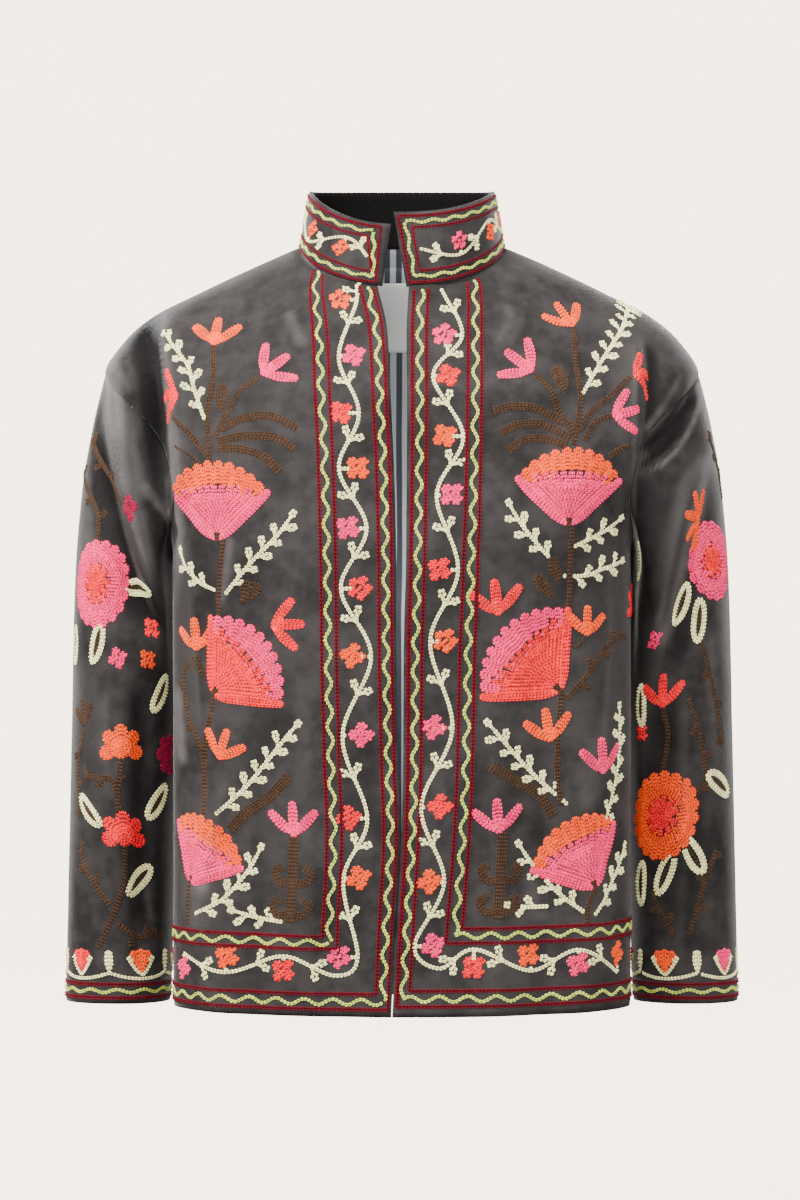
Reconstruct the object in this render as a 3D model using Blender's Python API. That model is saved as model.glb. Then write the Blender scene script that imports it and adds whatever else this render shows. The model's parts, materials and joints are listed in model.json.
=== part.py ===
"""A velvet jacket with a stand collar, open at the front, that keeps the hollow form it has when it is worn.

Metres, +Z up. The front faces -Y and the wearer's left is +X. The origin is the middle of the neck opening at the
height of the shoulder seams' inner ends, where the wearer carries the jacket.
"""

import bmesh
import bpy
import numpy as np
from mathutils.bvhtree import BVHTree

# Driving dimensions
CLOTH = 0.002
COLLAR_CLOTH = 0.003
LINING_CLOTH = 0.001
LABEL_CLOTH = 0.001
SEAM_GAP = 0.0003
LABEL_WIDTH, LABEL_MIDDLE_X = 0.060, -0.008
LABEL_TOP_Z, LABEL_BOTTOM_Z = -0.022, -0.079

# Rings of the body from the hem, 0, to the neck seam, 1. Each is a rounded oval that dips between its front, side and
# back heights. Above the armpits its side part is the line of the shoulder, which the armhole cuts away below the tip.
# up, half_width, middle_y, front_depth, back_depth, front_z, side_z, back_z, front_square, back_square, dip_power
BODY_RINGS = (
    (0.00, 0.1860, -0.033, 0.092, 0.147, -0.6195, -0.6160, -0.6200, 2.5, 1.80, 2.0),
    (0.30, 0.1862, -0.034, 0.095, 0.150, -0.4350, -0.4340, -0.4350, 2.5, 1.80, 2.0),
    (0.60, 0.1865, -0.033, 0.098, 0.146, -0.2500, -0.2500, -0.2500, 2.5, 1.80, 2.0),
    (0.73, 0.2200, -0.018, 0.104, 0.131, -0.1750, -0.1520, -0.1650, 2.4, 2.20, 2.0),
    (0.84, 0.2435, 0.000, 0.113, 0.106, -0.1250, -0.1000, -0.1100, 2.3, 2.10, 2.0),
    (0.87, 0.2271, 0.002, 0.107, 0.098, -0.1080, -0.0738, -0.0850, 2.3, 2.10, 2.0),
    (0.90, 0.2066, 0.003, 0.102, 0.091, -0.0920, -0.0558, -0.0600, 2.2, 2.10, 2.0),
    (0.94, 0.1656, 0.005, 0.095, 0.080, -0.0690, -0.0344, -0.0330, 2.2, 2.10, 1.8),
    (0.97, 0.1230, 0.005, 0.088, 0.066, -0.0510, -0.0140, -0.0120, 2.2, 2.10, 1.5),
    (1.00, 0.0845, 0.002, 0.080, 0.052, -0.0335, 0.0030, 0.0060, 2.2, 2.10, 1.1),
)

# The armhole seam on the wearer's left, once round from the tip of the shoulder, down the front to the armpit at 180
# and up the back.
# round, up, angle
ARMHOLE = (
    (0, 0.840, 90.0),
    (28, 0.812, 74.5),
    (65, 0.725, 60.0),
    (100, 0.660, 66.0),
    (135, 0.615, 90.0),
    (180, 0.600, 115.5),
    (215, 0.618, 117.5),
    (250, 0.665, 118.0),
    (290, 0.725, 115.0),
    (332, 0.800, 101.0),
    (360, 0.840, 90.0),
)
SIDE_SEAM_ANGLE, SHOULDER_SEAM_ANGLE = 115.5, 90.0

# The rows of a body panel's grid: how far up each starts on the centre line. They end on the side seam up to the
# armpit, on the armhole up to the shoulder's tip, and then on the shoulder seam.
# row, centre_up
CENTRE_LINE = ((0.00, 0.00), (0.50, 0.56), (0.80, 0.84), (1.00, 1.00))
ARMPIT_ROW, ARMPIT_UP = 0.50, 0.60
TIP_ROW, TIP_UP = 0.80, 0.84
SIDE_ROWS, ARMHOLE_ROWS, SHOULDER_ROWS = 13, 13, 7
FRONT_COLUMNS, BACK_COLUMNS = 15, 29

# The free edge of each front, from the hem to the neck seam.
# row, right_front_x, left_front_x
FRONT_EDGES = (
    (0.00, -0.0086, -0.0079),
    (0.10, -0.0053, -0.0045),
    (0.21, -0.0014, -0.0004),
    (0.29, -0.0031, 0.0010),
    (0.41, -0.0045, 0.0013),
    (0.54, -0.0049, 0.0031),
    (0.78, -0.0086, 0.0040),
    (0.92, -0.0118, 0.0037),
    (1.00, -0.0200, 0.0054),
)

# Sections of a sleeve on the wearer's left from the armhole, 0, to the cuff, 1.
# down, outer_x, outer_z, inner_x, inner_z, half_depth, middle_y
SLEEVE_SECTIONS = (
    (0.00, 0.2435, -0.100, 0.1620, -0.250, 0.058, -0.017),
    (0.07, 0.2540, -0.142, 0.1660, -0.268, 0.064, -0.008),
    (0.16, 0.2630, -0.192, 0.1700, -0.292, 0.069, 0.004),
    (0.32, 0.2698, -0.275, 0.1775, -0.340, 0.071, 0.020),
    (0.55, 0.2732, -0.395, 0.1825, -0.425, 0.068, 0.028),
    (0.78, 0.2755, -0.505, 0.1870, -0.518, 0.060, 0.028),
    (1.00, 0.2780, -0.617, 0.1910, -0.617, 0.052, 0.025),
)
ARMHOLE_FADE = 0.28
# A sleeve leans on the side of the body, this far off its face, once it has left the armhole.
SLEEVE_CLEARS_BODY, CLEARS_AFTER, LEANS_SOFTLY_OVER = 0.0040, 0.05, 0.004
SLEEVE_ROWS, SLEEVE_COLUMNS = 26, 2 * ARMHOLE_ROWS - 1

# The collar's top edge. Its foot is the neck seam.
COLLAR_HALF_WIDTH, COLLAR_MIDDLE_Y, COLLAR_FRONT_DEPTH, COLLAR_BACK_DEPTH = 0.0765, 0.002, 0.074, 0.048
COLLAR_RIGHT_Z, COLLAR_LEFT_Z, COLLAR_SIDE_Z, COLLAR_BACK_Z = 0.0175, 0.0275, 0.0450, 0.0476
COLLAR_RIGHT_ENDS_X, COLLAR_LEFT_ENDS_X = (-0.0160, -0.0094), (0.0036, -0.0030)
COLLAR_SEAT, COLLAR_DIP_POWER = 0.0008, 1.4
COLLAR_ROWS, COLLAR_COLUMNS = 5, 40

# The lining covers the back's grid but for these rows and columns at its edges.
LINING_LEAVES_ROWS, LINING_LEAVES_COLUMNS = 1, 2
LABEL_ROWS, LABEL_COLUMNS = 5, 7

# The largest folds, as lines seen from the front or the back, where a positive height stands out of the cloth.
# start_x, start_z, end_x, end_z, bow, half_width, height
FRONT_FOLDS = (
    (-0.2060, -0.052, -0.1930, -0.170, -0.0080, 0.0110, -0.0105),
    (-0.1880, -0.070, -0.1800, -0.190, -0.0060, 0.0110, 0.0040),
    (-0.2400, -0.110, -0.1900, -0.330, -0.0080, 0.0120, 0.0075),
    (-0.1480, -0.270, -0.1500, -0.640, 0.0030, 0.0140, 0.0040),
    (-0.1150, -0.300, -0.1180, -0.640, -0.0020, 0.0140, -0.0030),
    (0.2540, -0.160, 0.1900, -0.415, 0.0100, 0.0130, 0.0065),
    (0.1880, -0.080, 0.1820, -0.190, 0.0050, 0.0120, 0.0030),
    (0.1500, -0.290, 0.1460, -0.640, -0.0030, 0.0150, 0.0035),
    (0.1100, -0.330, 0.1140, -0.640, 0.0020, 0.0140, -0.0028),
)
BACK_FOLDS = (
    (-0.2050, -0.060, -0.1880, -0.200, -0.0070, 0.0115, -0.0080),
    (0.2030, -0.065, 0.1860, -0.205, 0.0070, 0.0115, -0.0070),
    (-0.1580, -0.100, -0.1480, -0.330, 0.0040, 0.0140, 0.0050),
    (0.1560, -0.110, 0.1500, -0.300, -0.0040, 0.0140, 0.0045),
    (-0.2450, -0.160, -0.1980, -0.360, -0.0060, 0.0120, 0.0065),
    (0.2480, -0.170, 0.2000, -0.400, 0.0080, 0.0130, 0.0060),
    (-0.0900, -0.300, -0.0960, -0.640, 0.0030, 0.0170, 0.0045),
    (0.0120, -0.340, 0.0080, -0.640, -0.0020, 0.0160, -0.0035),
    (0.0980, -0.280, 0.0930, -0.640, -0.0030, 0.0180, 0.0045),
)
FRONT_FOLDS_Y, BACK_FOLDS_Y, FOLDS_GROW_OVER = 0.005, 0.045, 0.03

# Colours, as linear red, green and blue
VELVET = (0.105, 0.087, 0.081)
STRIPED_LINING = (0.110, 0.118, 0.130)
GREY_LABEL = (0.420, 0.415, 0.400)


def column(table, number, at):
    """One column of a table as a smooth curve that doesn't overshoot, read at values of its first column."""
    rows = np.array(table, float)
    knots, values = rows[:, 0], rows[:, number]
    steps = np.diff(knots)
    rises = np.diff(values) / steps
    before, after = rises[:-1], rises[1:]
    same_way = before * after > 0
    middle = np.where(same_way, 2 * before * after / np.where(same_way, before + after, 1), 0)
    slopes = np.concatenate([rises[:1], middle, rises[-1:]])
    k = np.clip(np.searchsorted(knots, at, side="right") - 1, 0, len(steps) - 1)
    s = (at - knots[k]) / steps[k]
    return (
        (1 + 2 * s) * (1 - s) ** 2 * values[k]
        + s * (1 - s) ** 2 * steps[k] * slopes[k]
        + s**2 * (3 - 2 * s) * values[k + 1]
        + s**2 * (s - 1) * steps[k] * slopes[k + 1]
    )


def eased(share):
    share = np.clip(share, 0, 1)
    return share * share * (3 - 2 * share)


def unit(vectors):
    return vectors / np.maximum(np.linalg.norm(vectors, axis=-1, keepdims=True), 1e-12)


def fold_height(x, z, folds):
    """How far a table of folds lifts the cloth at places seen from the front or the back."""
    lift = np.zeros(np.shape(x))
    for start_x, start_z, end_x, end_z, bow, half_width, height in folds:
        run_x, run_z = end_x - start_x, end_z - start_z
        run = np.hypot(run_x, run_z)
        along = ((x - start_x) * run_x + (z - start_z) * run_z) / run**2
        on_line = np.clip(along, 0, 1)
        across = ((x - start_x) * run_z - (z - start_z) * run_x) / run - bow * 4 * on_line * (1 - on_line)
        past_end = (along - on_line) * run / 2
        lift += height * np.exp(-(across**2 + past_end**2) / half_width**2)
    return lift


def folded(points):
    """Points of the smooth form, moved out or in by the folds of their side."""
    x, y, z = np.moveaxis(points, -1, 0)
    ahead = eased((FRONT_FOLDS_Y - y) / FOLDS_GROW_OVER) * fold_height(x, z, FRONT_FOLDS)
    behind = eased((y - BACK_FOLDS_Y) / FOLDS_GROW_OVER) * fold_height(x, z, BACK_FOLDS)
    return np.stack([x, y - ahead + behind, z], -1)


def ring(angle, half_width, middle_y, front_depth, back_depth, front_z, side_z, back_z, front_square, back_square, dip):
    """A rounded oval. The angle is 0 at the centre front, 90 at the wearer's left and 180 at the centre back."""
    angle = np.mod(angle + 180, 360) - 180
    turn = np.radians(np.abs(angle))
    ahead = np.abs(angle) < 90
    power = 2 / np.where(ahead, front_square, back_square)
    level = np.abs(np.cos(turn)) ** dip
    x = np.sign(angle) * half_width * np.abs(np.sin(turn)) ** power
    y = middle_y + np.where(ahead, -front_depth, back_depth) * np.abs(np.cos(turn)) ** power
    return np.stack([x, y, side_z + (np.where(ahead, front_z, back_z) - side_z) * level], -1)


def body_form(up, angle):
    return ring(angle, *(column(BODY_RINGS, k, up) for k in range(1, 11)))


def body(up, angle):
    return folded(body_form(up, angle))


def oval(round_, outer_x, outer_z, inner_x, inner_z, half_depth, middle_y):
    turn = np.radians(round_)
    middle = np.stack([(outer_x + inner_x) / 2 + 0 * turn, middle_y + 0 * turn, (outer_z + inner_z) / 2 + 0 * turn], -1)
    reach = np.stack([(outer_x - inner_x) / 2 + 0 * turn, 0 * turn, (outer_z - inner_z) / 2 + 0 * turn], -1)
    forward = np.stack([0 * turn, -half_depth + 0 * turn, 0 * turn], -1)
    return middle + reach * np.cos(turn)[..., None] + forward * np.sin(turn)[..., None]


def armhole(round_):
    """How far up and at what angle the wearer's left armhole seam lies."""
    turned = np.mod(round_, 360)
    return column(ARMHOLE, 1, turned), column(ARMHOLE, 2, turned)


def clear_of_body(points, down):
    """Move a left sleeve's points out of the body's side, which bends softly round them."""
    x, y, z = np.moveaxis(points, -1, 0)
    up = np.interp(z, *([row[k] for row in BODY_RINGS[:4]] for k in (6, 0)))
    half_width, middle_y, front, back = (column(BODY_RINGS, k, up) for k in range(1, 5))
    behind = y > middle_y
    square = np.where(behind, column(BODY_RINGS, 9, up), column(BODY_RINGS, 8, up))
    along = np.clip(np.abs(y - middle_y) / np.where(behind, back, front), 0, 1)
    least = half_width * (1 - along**square) ** (1 / square) + SLEEVE_CLEARS_BODY
    short = least - x
    moved = (short + np.hypot(short, LEANS_SOFTLY_OVER)) / 2
    return np.stack([x + moved * eased(down / CLEARS_AFTER), y, z], -1)


def sleeve(side, down, round_):
    """A sleeve's outer face. Round runs from its outer line, 0, over its front to the underarm, 180, and the back."""
    hanging = oval(round_, *(column(SLEEVE_SECTIONS, k, down) for k in range(1, 7)))
    to_seam = body_form(*armhole(round_)) - oval(round_, *SLEEVE_SECTIONS[0][1:])
    kept = 1 - eased(down / ARMHOLE_FADE)
    return folded(clear_of_body(hanging + to_seam * kept[..., None], down) * (side, 1, 1))


def outward(surface, first, second, first_step, second_step):
    """Unit normals of a surface of two numbers, by small steps of both."""
    along = surface(first + first_step, second) - surface(first - first_step, second)
    across = surface(first, second + second_step) - surface(first, second - second_step)
    return unit(np.cross(across, along))


def body_normals(up, angle):
    return outward(body, np.clip(up, 0.001, 0.999), angle, 0.001, 0.2)


def sleeve_normals(side, down, round_):
    def surface(a, b):
        return sleeve(side, a, b)

    return side * outward(surface, np.clip(down, 0.002, 0.998), round_, 0.002, 0.5)


def armhole_normals(side, round_):
    """The direction that the body and the sleeve share along their seam, so that both walls end on one line."""
    up, angle = armhole(round_)
    return unit(body_normals(up, side * angle) + sleeve_normals(side, 0 * round_, round_))


def part_seam(line, normals, next_line):
    """Move one edge of a piece half the seam's gap away from its neighbour, within the cloth."""
    aside = np.cross(normals, unit(np.gradient(line, axis=0)))
    line += np.sign((aside * (next_line - line)).sum()) * SEAM_GAP / 2 * aside


def panel_rows():
    return np.concatenate(
        [
            np.linspace(0, ARMPIT_ROW, SIDE_ROWS)[:-1],
            np.linspace(ARMPIT_ROW, TIP_ROW, ARMHOLE_ROWS)[:-1],
            np.linspace(TIP_ROW, 1, SHOULDER_ROWS),
        ]
    )


def outer_line(rows, behind):
    """Where a panel's rows end on the wearer's left: up, angle, and the place round the armhole."""
    climbed = np.clip((rows - ARMPIT_ROW) / (TIP_ROW - ARMPIT_ROW), 0, 1)
    round_ = 180 + 180 * climbed if behind else 180 - 180 * climbed
    up, angle = armhole(round_)
    above, below = rows > TIP_ROW, rows < ARMPIT_ROW
    up = np.where(above, TIP_UP + (1 - TIP_UP) * (rows - TIP_ROW) / (1 - TIP_ROW), up)
    up = np.where(below, ARMPIT_UP * rows / ARMPIT_ROW, up)
    angle = np.where(above, SHOULDER_SEAM_ANGLE, np.where(below, SIDE_SEAM_ANGLE, angle))
    return up, angle, round_


def seam_the_side(points, normals, side, behind, outer, beside):
    """Give a panel's outer column its seams: the side seam, the armhole and the shoulder seam."""
    rows = panel_rows()
    on_armhole = slice(SIDE_ROWS - 1, SIDE_ROWS + ARMHOLE_ROWS - 1)
    round_ = outer_line(rows, behind)[2]
    normals[on_armhole, outer] = armhole_normals(side, round_[on_armhole])
    seams = slice(0, SIDE_ROWS), on_armhole, slice(SIDE_ROWS + ARMHOLE_ROWS - 2, len(rows))
    lines = points[:, outer].copy(), points[:, beside].copy()
    for seam in seams:
        moved = lines[0][seam].copy()
        part_seam(moved, normals[seam, outer], lines[1][seam])
        points[seam, outer] += moved - lines[0][seam]


def wall(name, points, normals, thickness, material, parts):
    """A closed wall of cloth: a grid of outer points, and the same points moved in."""
    rows, columns = points.shape[:2]
    mesh = bmesh.new()
    grids = points, points - thickness * normals
    out, inn = ([[mesh.verts.new(p) for p in row] for row in grid.tolist()] for grid in grids)
    for i in range(rows - 1):
        for j in range(columns - 1):
            mesh.faces.new((out[i][j], out[i][j + 1], out[i + 1][j + 1], out[i + 1][j]))
            mesh.faces.new((inn[i][j], inn[i + 1][j], inn[i + 1][j + 1], inn[i][j + 1]))
    bmesh.ops.triangulate(mesh, faces=mesh.faces, quad_method="FIXED")
    rim = [mesh.faces.new((out[i][0], out[i + 1][0], inn[i + 1][0], inn[i][0])) for i in range(rows - 1)]
    rim += [mesh.faces.new((out[i + 1][-1], out[i][-1], inn[i][-1], inn[i + 1][-1])) for i in range(rows - 1)]
    rim += [mesh.faces.new((out[0][j + 1], out[0][j], inn[0][j], inn[0][j + 1])) for j in range(columns - 1)]
    rim += [mesh.faces.new((out[-1][j], out[-1][j + 1], inn[-1][j + 1], inn[-1][j])) for j in range(columns - 1)]
    bmesh.ops.triangulate(mesh, faces=rim, quad_method="SHORT_EDGE")
    bmesh.ops.recalc_face_normals(mesh, faces=mesh.faces)
    data = bpy.data.meshes.new(name)
    mesh.to_mesh(data)
    mesh.free()
    data.shade_smooth()
    data.set_sharp_from_angle(angle=np.radians(40))
    data.materials.append(material)
    piece = bpy.data.objects.new(name, data)
    parts.objects.link(piece)
    return piece


def front_panel(side):
    """One front, from its free edge to the side seam, the armhole and the shoulder seam."""
    rows = panel_rows()
    centre_up = column(CENTRE_LINE, 1, rows)
    outer_up, outer_angle, _ = outer_line(rows, behind=False)
    edge_x = column(FRONT_EDGES, 2 if side > 0 else 1, rows)
    half_width, square = column(BODY_RINGS, 1, centre_up), column(BODY_RINGS, 8, centre_up)
    edge_angle = np.sign(edge_x) * np.degrees(np.arcsin((np.abs(edge_x) / half_width) ** (square / 2)))
    across = np.linspace(0, 1, FRONT_COLUMNS)
    up = centre_up[:, None] + (outer_up - centre_up)[:, None] * across**2
    angle = edge_angle[:, None] + (side * outer_angle - edge_angle)[:, None] * across
    points, normals = body(up, angle), body_normals(up, angle)
    seam_the_side(points, normals, side, False, -1, -2)
    return points, normals


def back_panel():
    """The back, from the wearer's right side seam to the left one."""
    rows = panel_rows()
    centre_up = column(CENTRE_LINE, 1, rows)
    outer_up, outer_angle, _ = outer_line(rows, behind=True)
    across = np.linspace(-1, 1, BACK_COLUMNS)
    up = centre_up[:, None] + (outer_up - centre_up)[:, None] * across**2
    angle = 180 + (outer_angle - 180)[:, None] * np.abs(across)
    angle = np.where(across < 0, -angle, angle)
    points, normals = body(up, angle), body_normals(up, angle)
    seam_the_side(points, normals, -1, True, 0, 1)
    seam_the_side(points, normals, 1, True, -1, -2)
    return points, normals


def sleeve_tube(side):
    """One sleeve, from the armhole to the cuff, rolled round to its seam under the arm."""
    down = np.linspace(0, 1, SLEEVE_ROWS)[:, None]
    round_ = np.linspace(180, 540, SLEEVE_COLUMNS)[None, :]
    down, round_ = np.broadcast_arrays(down, round_)
    points, normals = sleeve(side, down, round_), sleeve_normals(side, down, round_)
    normals[0] = armhole_normals(side, round_[0])
    smooth = points.copy()
    part_seam(points[0], normals[0], smooth[1])
    for edge, beside in ((0, 1), (-1, -2)):
        moved = smooth[:, edge].copy()
        part_seam(moved, normals[:, edge], smooth[:, beside])
        points[:, edge] += moved - smooth[:, edge]
    return points, normals


def collar_band():
    """The standing collar, from its left front end round the back of the neck to its right front end."""
    high = np.linspace(0, 1, COLLAR_ROWS)[:, None]
    ends = [np.interp(high, (0, 1), x) for x in (COLLAR_LEFT_ENDS_X, COLLAR_RIGHT_ENDS_X)]
    neck_width, neck_square = BODY_RINGS[-1][1], BODY_RINGS[-1][8]
    width = neck_width + (COLLAR_HALF_WIDTH - neck_width) * high
    start, stop = (np.sign(x) * np.degrees(np.arcsin((np.abs(x) / width) ** (neck_square / 2))) for x in ends)
    angle = start + (360 + stop - start) * np.linspace(0, 1, COLLAR_COLUMNS)
    angle = np.where(angle > 180, angle - 360, angle)
    foot = ring(angle, *BODY_RINGS[-1][1:])
    top_front_z = np.where(angle < 0, COLLAR_RIGHT_Z, COLLAR_LEFT_Z)
    top_shape = COLLAR_FRONT_DEPTH, COLLAR_BACK_DEPTH, top_front_z, COLLAR_SIDE_Z, COLLAR_BACK_Z
    top = ring(angle, COLLAR_HALF_WIDTH, COLLAR_MIDDLE_Y, *top_shape, *BODY_RINGS[-1][8:10], COLLAR_DIP_POWER)
    points = foot + (top - foot) * high[..., None] + (0, 0, COLLAR_SEAT)
    level = unit(np.gradient(points, axis=1) * (1, 1, 0))
    return points, np.stack([level[..., 1], -level[..., 0], 0 * level[..., 0]], -1)


def lining(points, normals):
    """The striped lining inside the back: the back's own points, moved in past its wall."""
    rows = slice(LINING_LEAVES_ROWS, -LINING_LEAVES_ROWS)
    columns = slice(LINING_LEAVES_COLUMNS, -LINING_LEAVES_COLUMNS)
    return (points - (CLOTH + SEAM_GAP) * normals)[rows, columns], normals[rows, columns]


def neck_label(carrier):
    """The bare label, laid on the lining under the collar."""
    x = LABEL_MIDDLE_X + LABEL_WIDTH * np.linspace(-0.5, 0.5, LABEL_COLUMNS)
    z = np.linspace(LABEL_BOTTOM_Z, LABEL_TOP_Z, LABEL_ROWS)
    lining_mesh = carrier.data
    tree = BVHTree.FromPolygons([v.co for v in lining_mesh.vertices], [p.vertices[:] for p in lining_mesh.polygons])
    laid = [[tree.ray_cast((px, 0, pz), (0, 1, 0))[0] for px in x] for pz in z]
    points = np.array(laid) - (0, SEAM_GAP, 0)
    return points, np.broadcast_to((0.0, 1.0, 0.0), points.shape)


def plain_material(name, colour, roughness):
    material = bpy.data.materials.new(name)
    material.use_nodes = True
    finish = material.node_tree.nodes["Principled BSDF"]
    finish.inputs["Base Color"].default_value = (*colour, 1)
    finish.inputs["Roughness"].default_value = roughness
    finish.inputs["Metallic"].default_value = 0
    material.diffuse_color = (*colour, 1)
    return material


def main():
    for old in list(bpy.data.objects):
        bpy.data.objects.remove(old, do_unlink=True)
    parts = bpy.data.collections.new("velvet_jacket")
    bpy.context.scene.collection.children.link(parts)
    for name, side in (("right", -1), ("left", 1)):
        velvet = plain_material("front_velvet_" + name, VELVET, 0.85)
        wall("front_" + name, *front_panel(side), CLOTH, velvet, parts)
        velvet = plain_material("sleeve_velvet_" + name, VELVET, 0.85)
        wall("sleeve_" + name, *sleeve_tube(side), CLOTH, velvet, parts)
    back = back_panel()
    wall("back", *back, CLOTH, plain_material("back_velvet", VELVET, 0.85), parts)
    wall("collar", *collar_band(), COLLAR_CLOTH, plain_material("collar_velvet", VELVET, 0.85), parts)
    striped = plain_material("striped_lining", STRIPED_LINING, 0.6)
    carrier = wall("lining_back", *lining(*back), LINING_CLOTH, striped, parts)
    wall("label", *neck_label(carrier), LABEL_CLOTH, plain_material("grey_label", GREY_LABEL, 0.7), parts)


main()
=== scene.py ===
"""The velvet jacket dressed for its picture: velvet shells, linings, chain stitch and a plain studio."""

import functools
import json
import math

import bpy
import numpy as np
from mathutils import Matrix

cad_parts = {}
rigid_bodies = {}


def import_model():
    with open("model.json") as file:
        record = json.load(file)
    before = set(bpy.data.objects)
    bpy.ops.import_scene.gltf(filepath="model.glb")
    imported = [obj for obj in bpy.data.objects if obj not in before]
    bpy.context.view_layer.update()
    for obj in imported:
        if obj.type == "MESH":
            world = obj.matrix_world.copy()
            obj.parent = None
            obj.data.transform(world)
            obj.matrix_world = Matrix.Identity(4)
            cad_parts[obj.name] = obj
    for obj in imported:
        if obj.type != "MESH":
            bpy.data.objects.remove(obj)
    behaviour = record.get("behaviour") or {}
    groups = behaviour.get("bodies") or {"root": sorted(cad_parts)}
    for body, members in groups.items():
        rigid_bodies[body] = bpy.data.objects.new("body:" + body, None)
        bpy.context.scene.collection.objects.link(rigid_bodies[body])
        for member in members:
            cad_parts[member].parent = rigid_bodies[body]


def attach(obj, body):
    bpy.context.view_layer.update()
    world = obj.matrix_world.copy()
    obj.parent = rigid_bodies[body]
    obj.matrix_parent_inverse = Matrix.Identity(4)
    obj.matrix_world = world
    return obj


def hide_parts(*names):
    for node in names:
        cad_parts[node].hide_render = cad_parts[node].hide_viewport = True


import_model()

bl_info = {
    "name": "Velvet Jacket",
    "version": (1, 0, 0),
    "blender": (4, 5, 0),
    "location": "View3D > Sidebar > Jacket",
    "description": "Builds the embroidered velvet jacket on its packed frame",
    "category": "Object",
}


def metres(*rows, lengths=8):
    """Rows of a table whose first columns are lengths in tenths of a millimetre, with these in metres."""
    return [[value / 10000 for value in row[:lengths]] + list(row[lengths:]) for row in rows]


# The camera and the photo's frame, in pixels
CAMERA = (-0.00164, -4.0, -0.287)
LENS, SENSOR = 146.0, 36.0
PHOTO_WIDTH, PHOTO_HEIGHT = 800, 1200

# The lights with their share of the key light's power
# name, place, aim, size, share
LIGHTS = (
    ("key", (-2.1, -1.7, 1.9), (0.0, 0.0, -0.25), 0.8, 0.95),
    ("front", (-0.5, -4.0, 1.2), (0.0, 0.0, -0.30), 1.2, 0.62),
    ("fill", (2.6, -2.0, 0.4), (0.0, 0.0, -0.30), 1.6, 0.30),
    ("top", (0.2, -0.3, 2.6), (0.0, 0.1, -0.20), 1.4, 0.20),
    ("behind_left", (-2.0, 3.2, 1.4), (0.0, 0.0, -0.30), 1.2, 0.90),
    ("behind_right", (2.2, 3.0, 1.0), (0.0, 0.0, -0.30), 1.4, 0.60),
    ("lining", (0.0, -0.030, -0.30), (0.0, 0.120, -0.30), 0.16, 0.0020),
    ("label", (0.0, -0.030, -0.020), (0.0, 0.060, -0.060), 0.05, 0.00032),
)
# The floor's profile, which turns up far from the jacket, as radius and height
FLOOR_PROFILE = ((0.001, -0.90), (4.5, -0.90), (5.8, -0.70), (6.6, -0.10), (7.0, 1.0), (7.0, 7.0))
FLOOR, FLOOR_GLOW, FLOOR_SIDES = (1.0, 0.880, 0.700), 5.6, 64
ROOM_COLOUR = (1.0, 0.985, 0.96, 1)

# Rings of the body from the hem, 0, to the neck seam, 1. Each is a rounded oval that dips between its front,
# side and back heights. Above the armpits its side part is the line of the shoulder, which the armhole cuts
# away below the tip.
# up, half_width, middle_y, front_depth, back_depth, front_z, side_z, back_z, front_square, back_square, dip
BODY_RINGS = (
    (0.00, 0.1860, -0.033, 0.092, 0.147, -0.6195, -0.6160, -0.6200, 2.5, 1.80, 2.0),
    (0.30, 0.1862, -0.034, 0.095, 0.150, -0.4350, -0.4340, -0.4350, 2.5, 1.80, 2.0),
    (0.60, 0.1865, -0.033, 0.098, 0.146, -0.2500, -0.2500, -0.2500, 2.5, 1.80, 2.0),
    (0.73, 0.2200, -0.018, 0.104, 0.131, -0.1750, -0.1520, -0.1650, 2.4, 2.20, 2.0),
    (0.84, 0.2435, 0.000, 0.113, 0.106, -0.1250, -0.1000, -0.1100, 2.3, 2.10, 2.0),
    (0.87, 0.2271, 0.002, 0.107, 0.098, -0.1080, -0.0738, -0.0850, 2.3, 2.10, 2.0),
    (0.90, 0.2066, 0.003, 0.102, 0.091, -0.0920, -0.0558, -0.0600, 2.2, 2.10, 2.0),
    (0.94, 0.1656, 0.005, 0.095, 0.080, -0.0690, -0.0344, -0.0330, 2.2, 2.10, 1.8),
    (0.97, 0.1230, 0.005, 0.088, 0.066, -0.0510, -0.0140, -0.0120, 2.2, 2.10, 1.5),
    (1.00, 0.0845, 0.002, 0.080, 0.052, -0.0335, 0.0030, 0.0060, 2.2, 2.10, 1.1),
)

# The armhole seam on the wearer's left, once round from the tip of the shoulder, down the front to the armpit
# at 180 and up the back.
# round, up, angle
ARMHOLE = (
    (0, 0.840, 90.0),
    (28, 0.812, 74.5),
    (65, 0.725, 60.0),
    (100, 0.660, 66.0),
    (135, 0.615, 90.0),
    (180, 0.600, 115.5),
    (215, 0.618, 117.5),
    (250, 0.665, 118.0),
    (290, 0.725, 115.0),
    (332, 0.800, 101.0),
    (360, 0.840, 90.0),
)
SIDE_SEAM_ANGLE, SHOULDER_SEAM_ANGLE = 115.5, 90.0

# The rows of a body panel's grid: how far up each starts on the centre line. They end on the side seam up to
# the armpit, on the armhole up to the shoulder's tip, and then on the shoulder seam.
# row, centre_up
CENTRE_LINE = ((0.00, 0.00), (0.50, 0.56), (0.80, 0.84), (1.00, 1.00))
ARMPIT_ROW, ARMPIT_UP = 0.50, 0.60
TIP_ROW, TIP_UP = 0.80, 0.84
SIDE_ROWS, ARMHOLE_ROWS, SHOULDER_ROWS = 72, 73, 29
FRONT_COLUMNS, BACK_COLUMNS = 105, 161

# The free edge of each front, from the hem to the neck seam.
# row, right_front_x, left_front_x
FRONT_EDGES = (
    (0.00, -0.0086, -0.0079),
    (0.10, -0.0053, -0.0045),
    (0.21, -0.0014, -0.0004),
    (0.29, -0.0031, 0.0010),
    (0.41, -0.0045, 0.0013),
    (0.54, -0.0049, 0.0031),
    (0.78, -0.0086, 0.0040),
    (0.92, -0.0118, 0.0037),
    (1.00, -0.0200, 0.0054),
)

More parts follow.
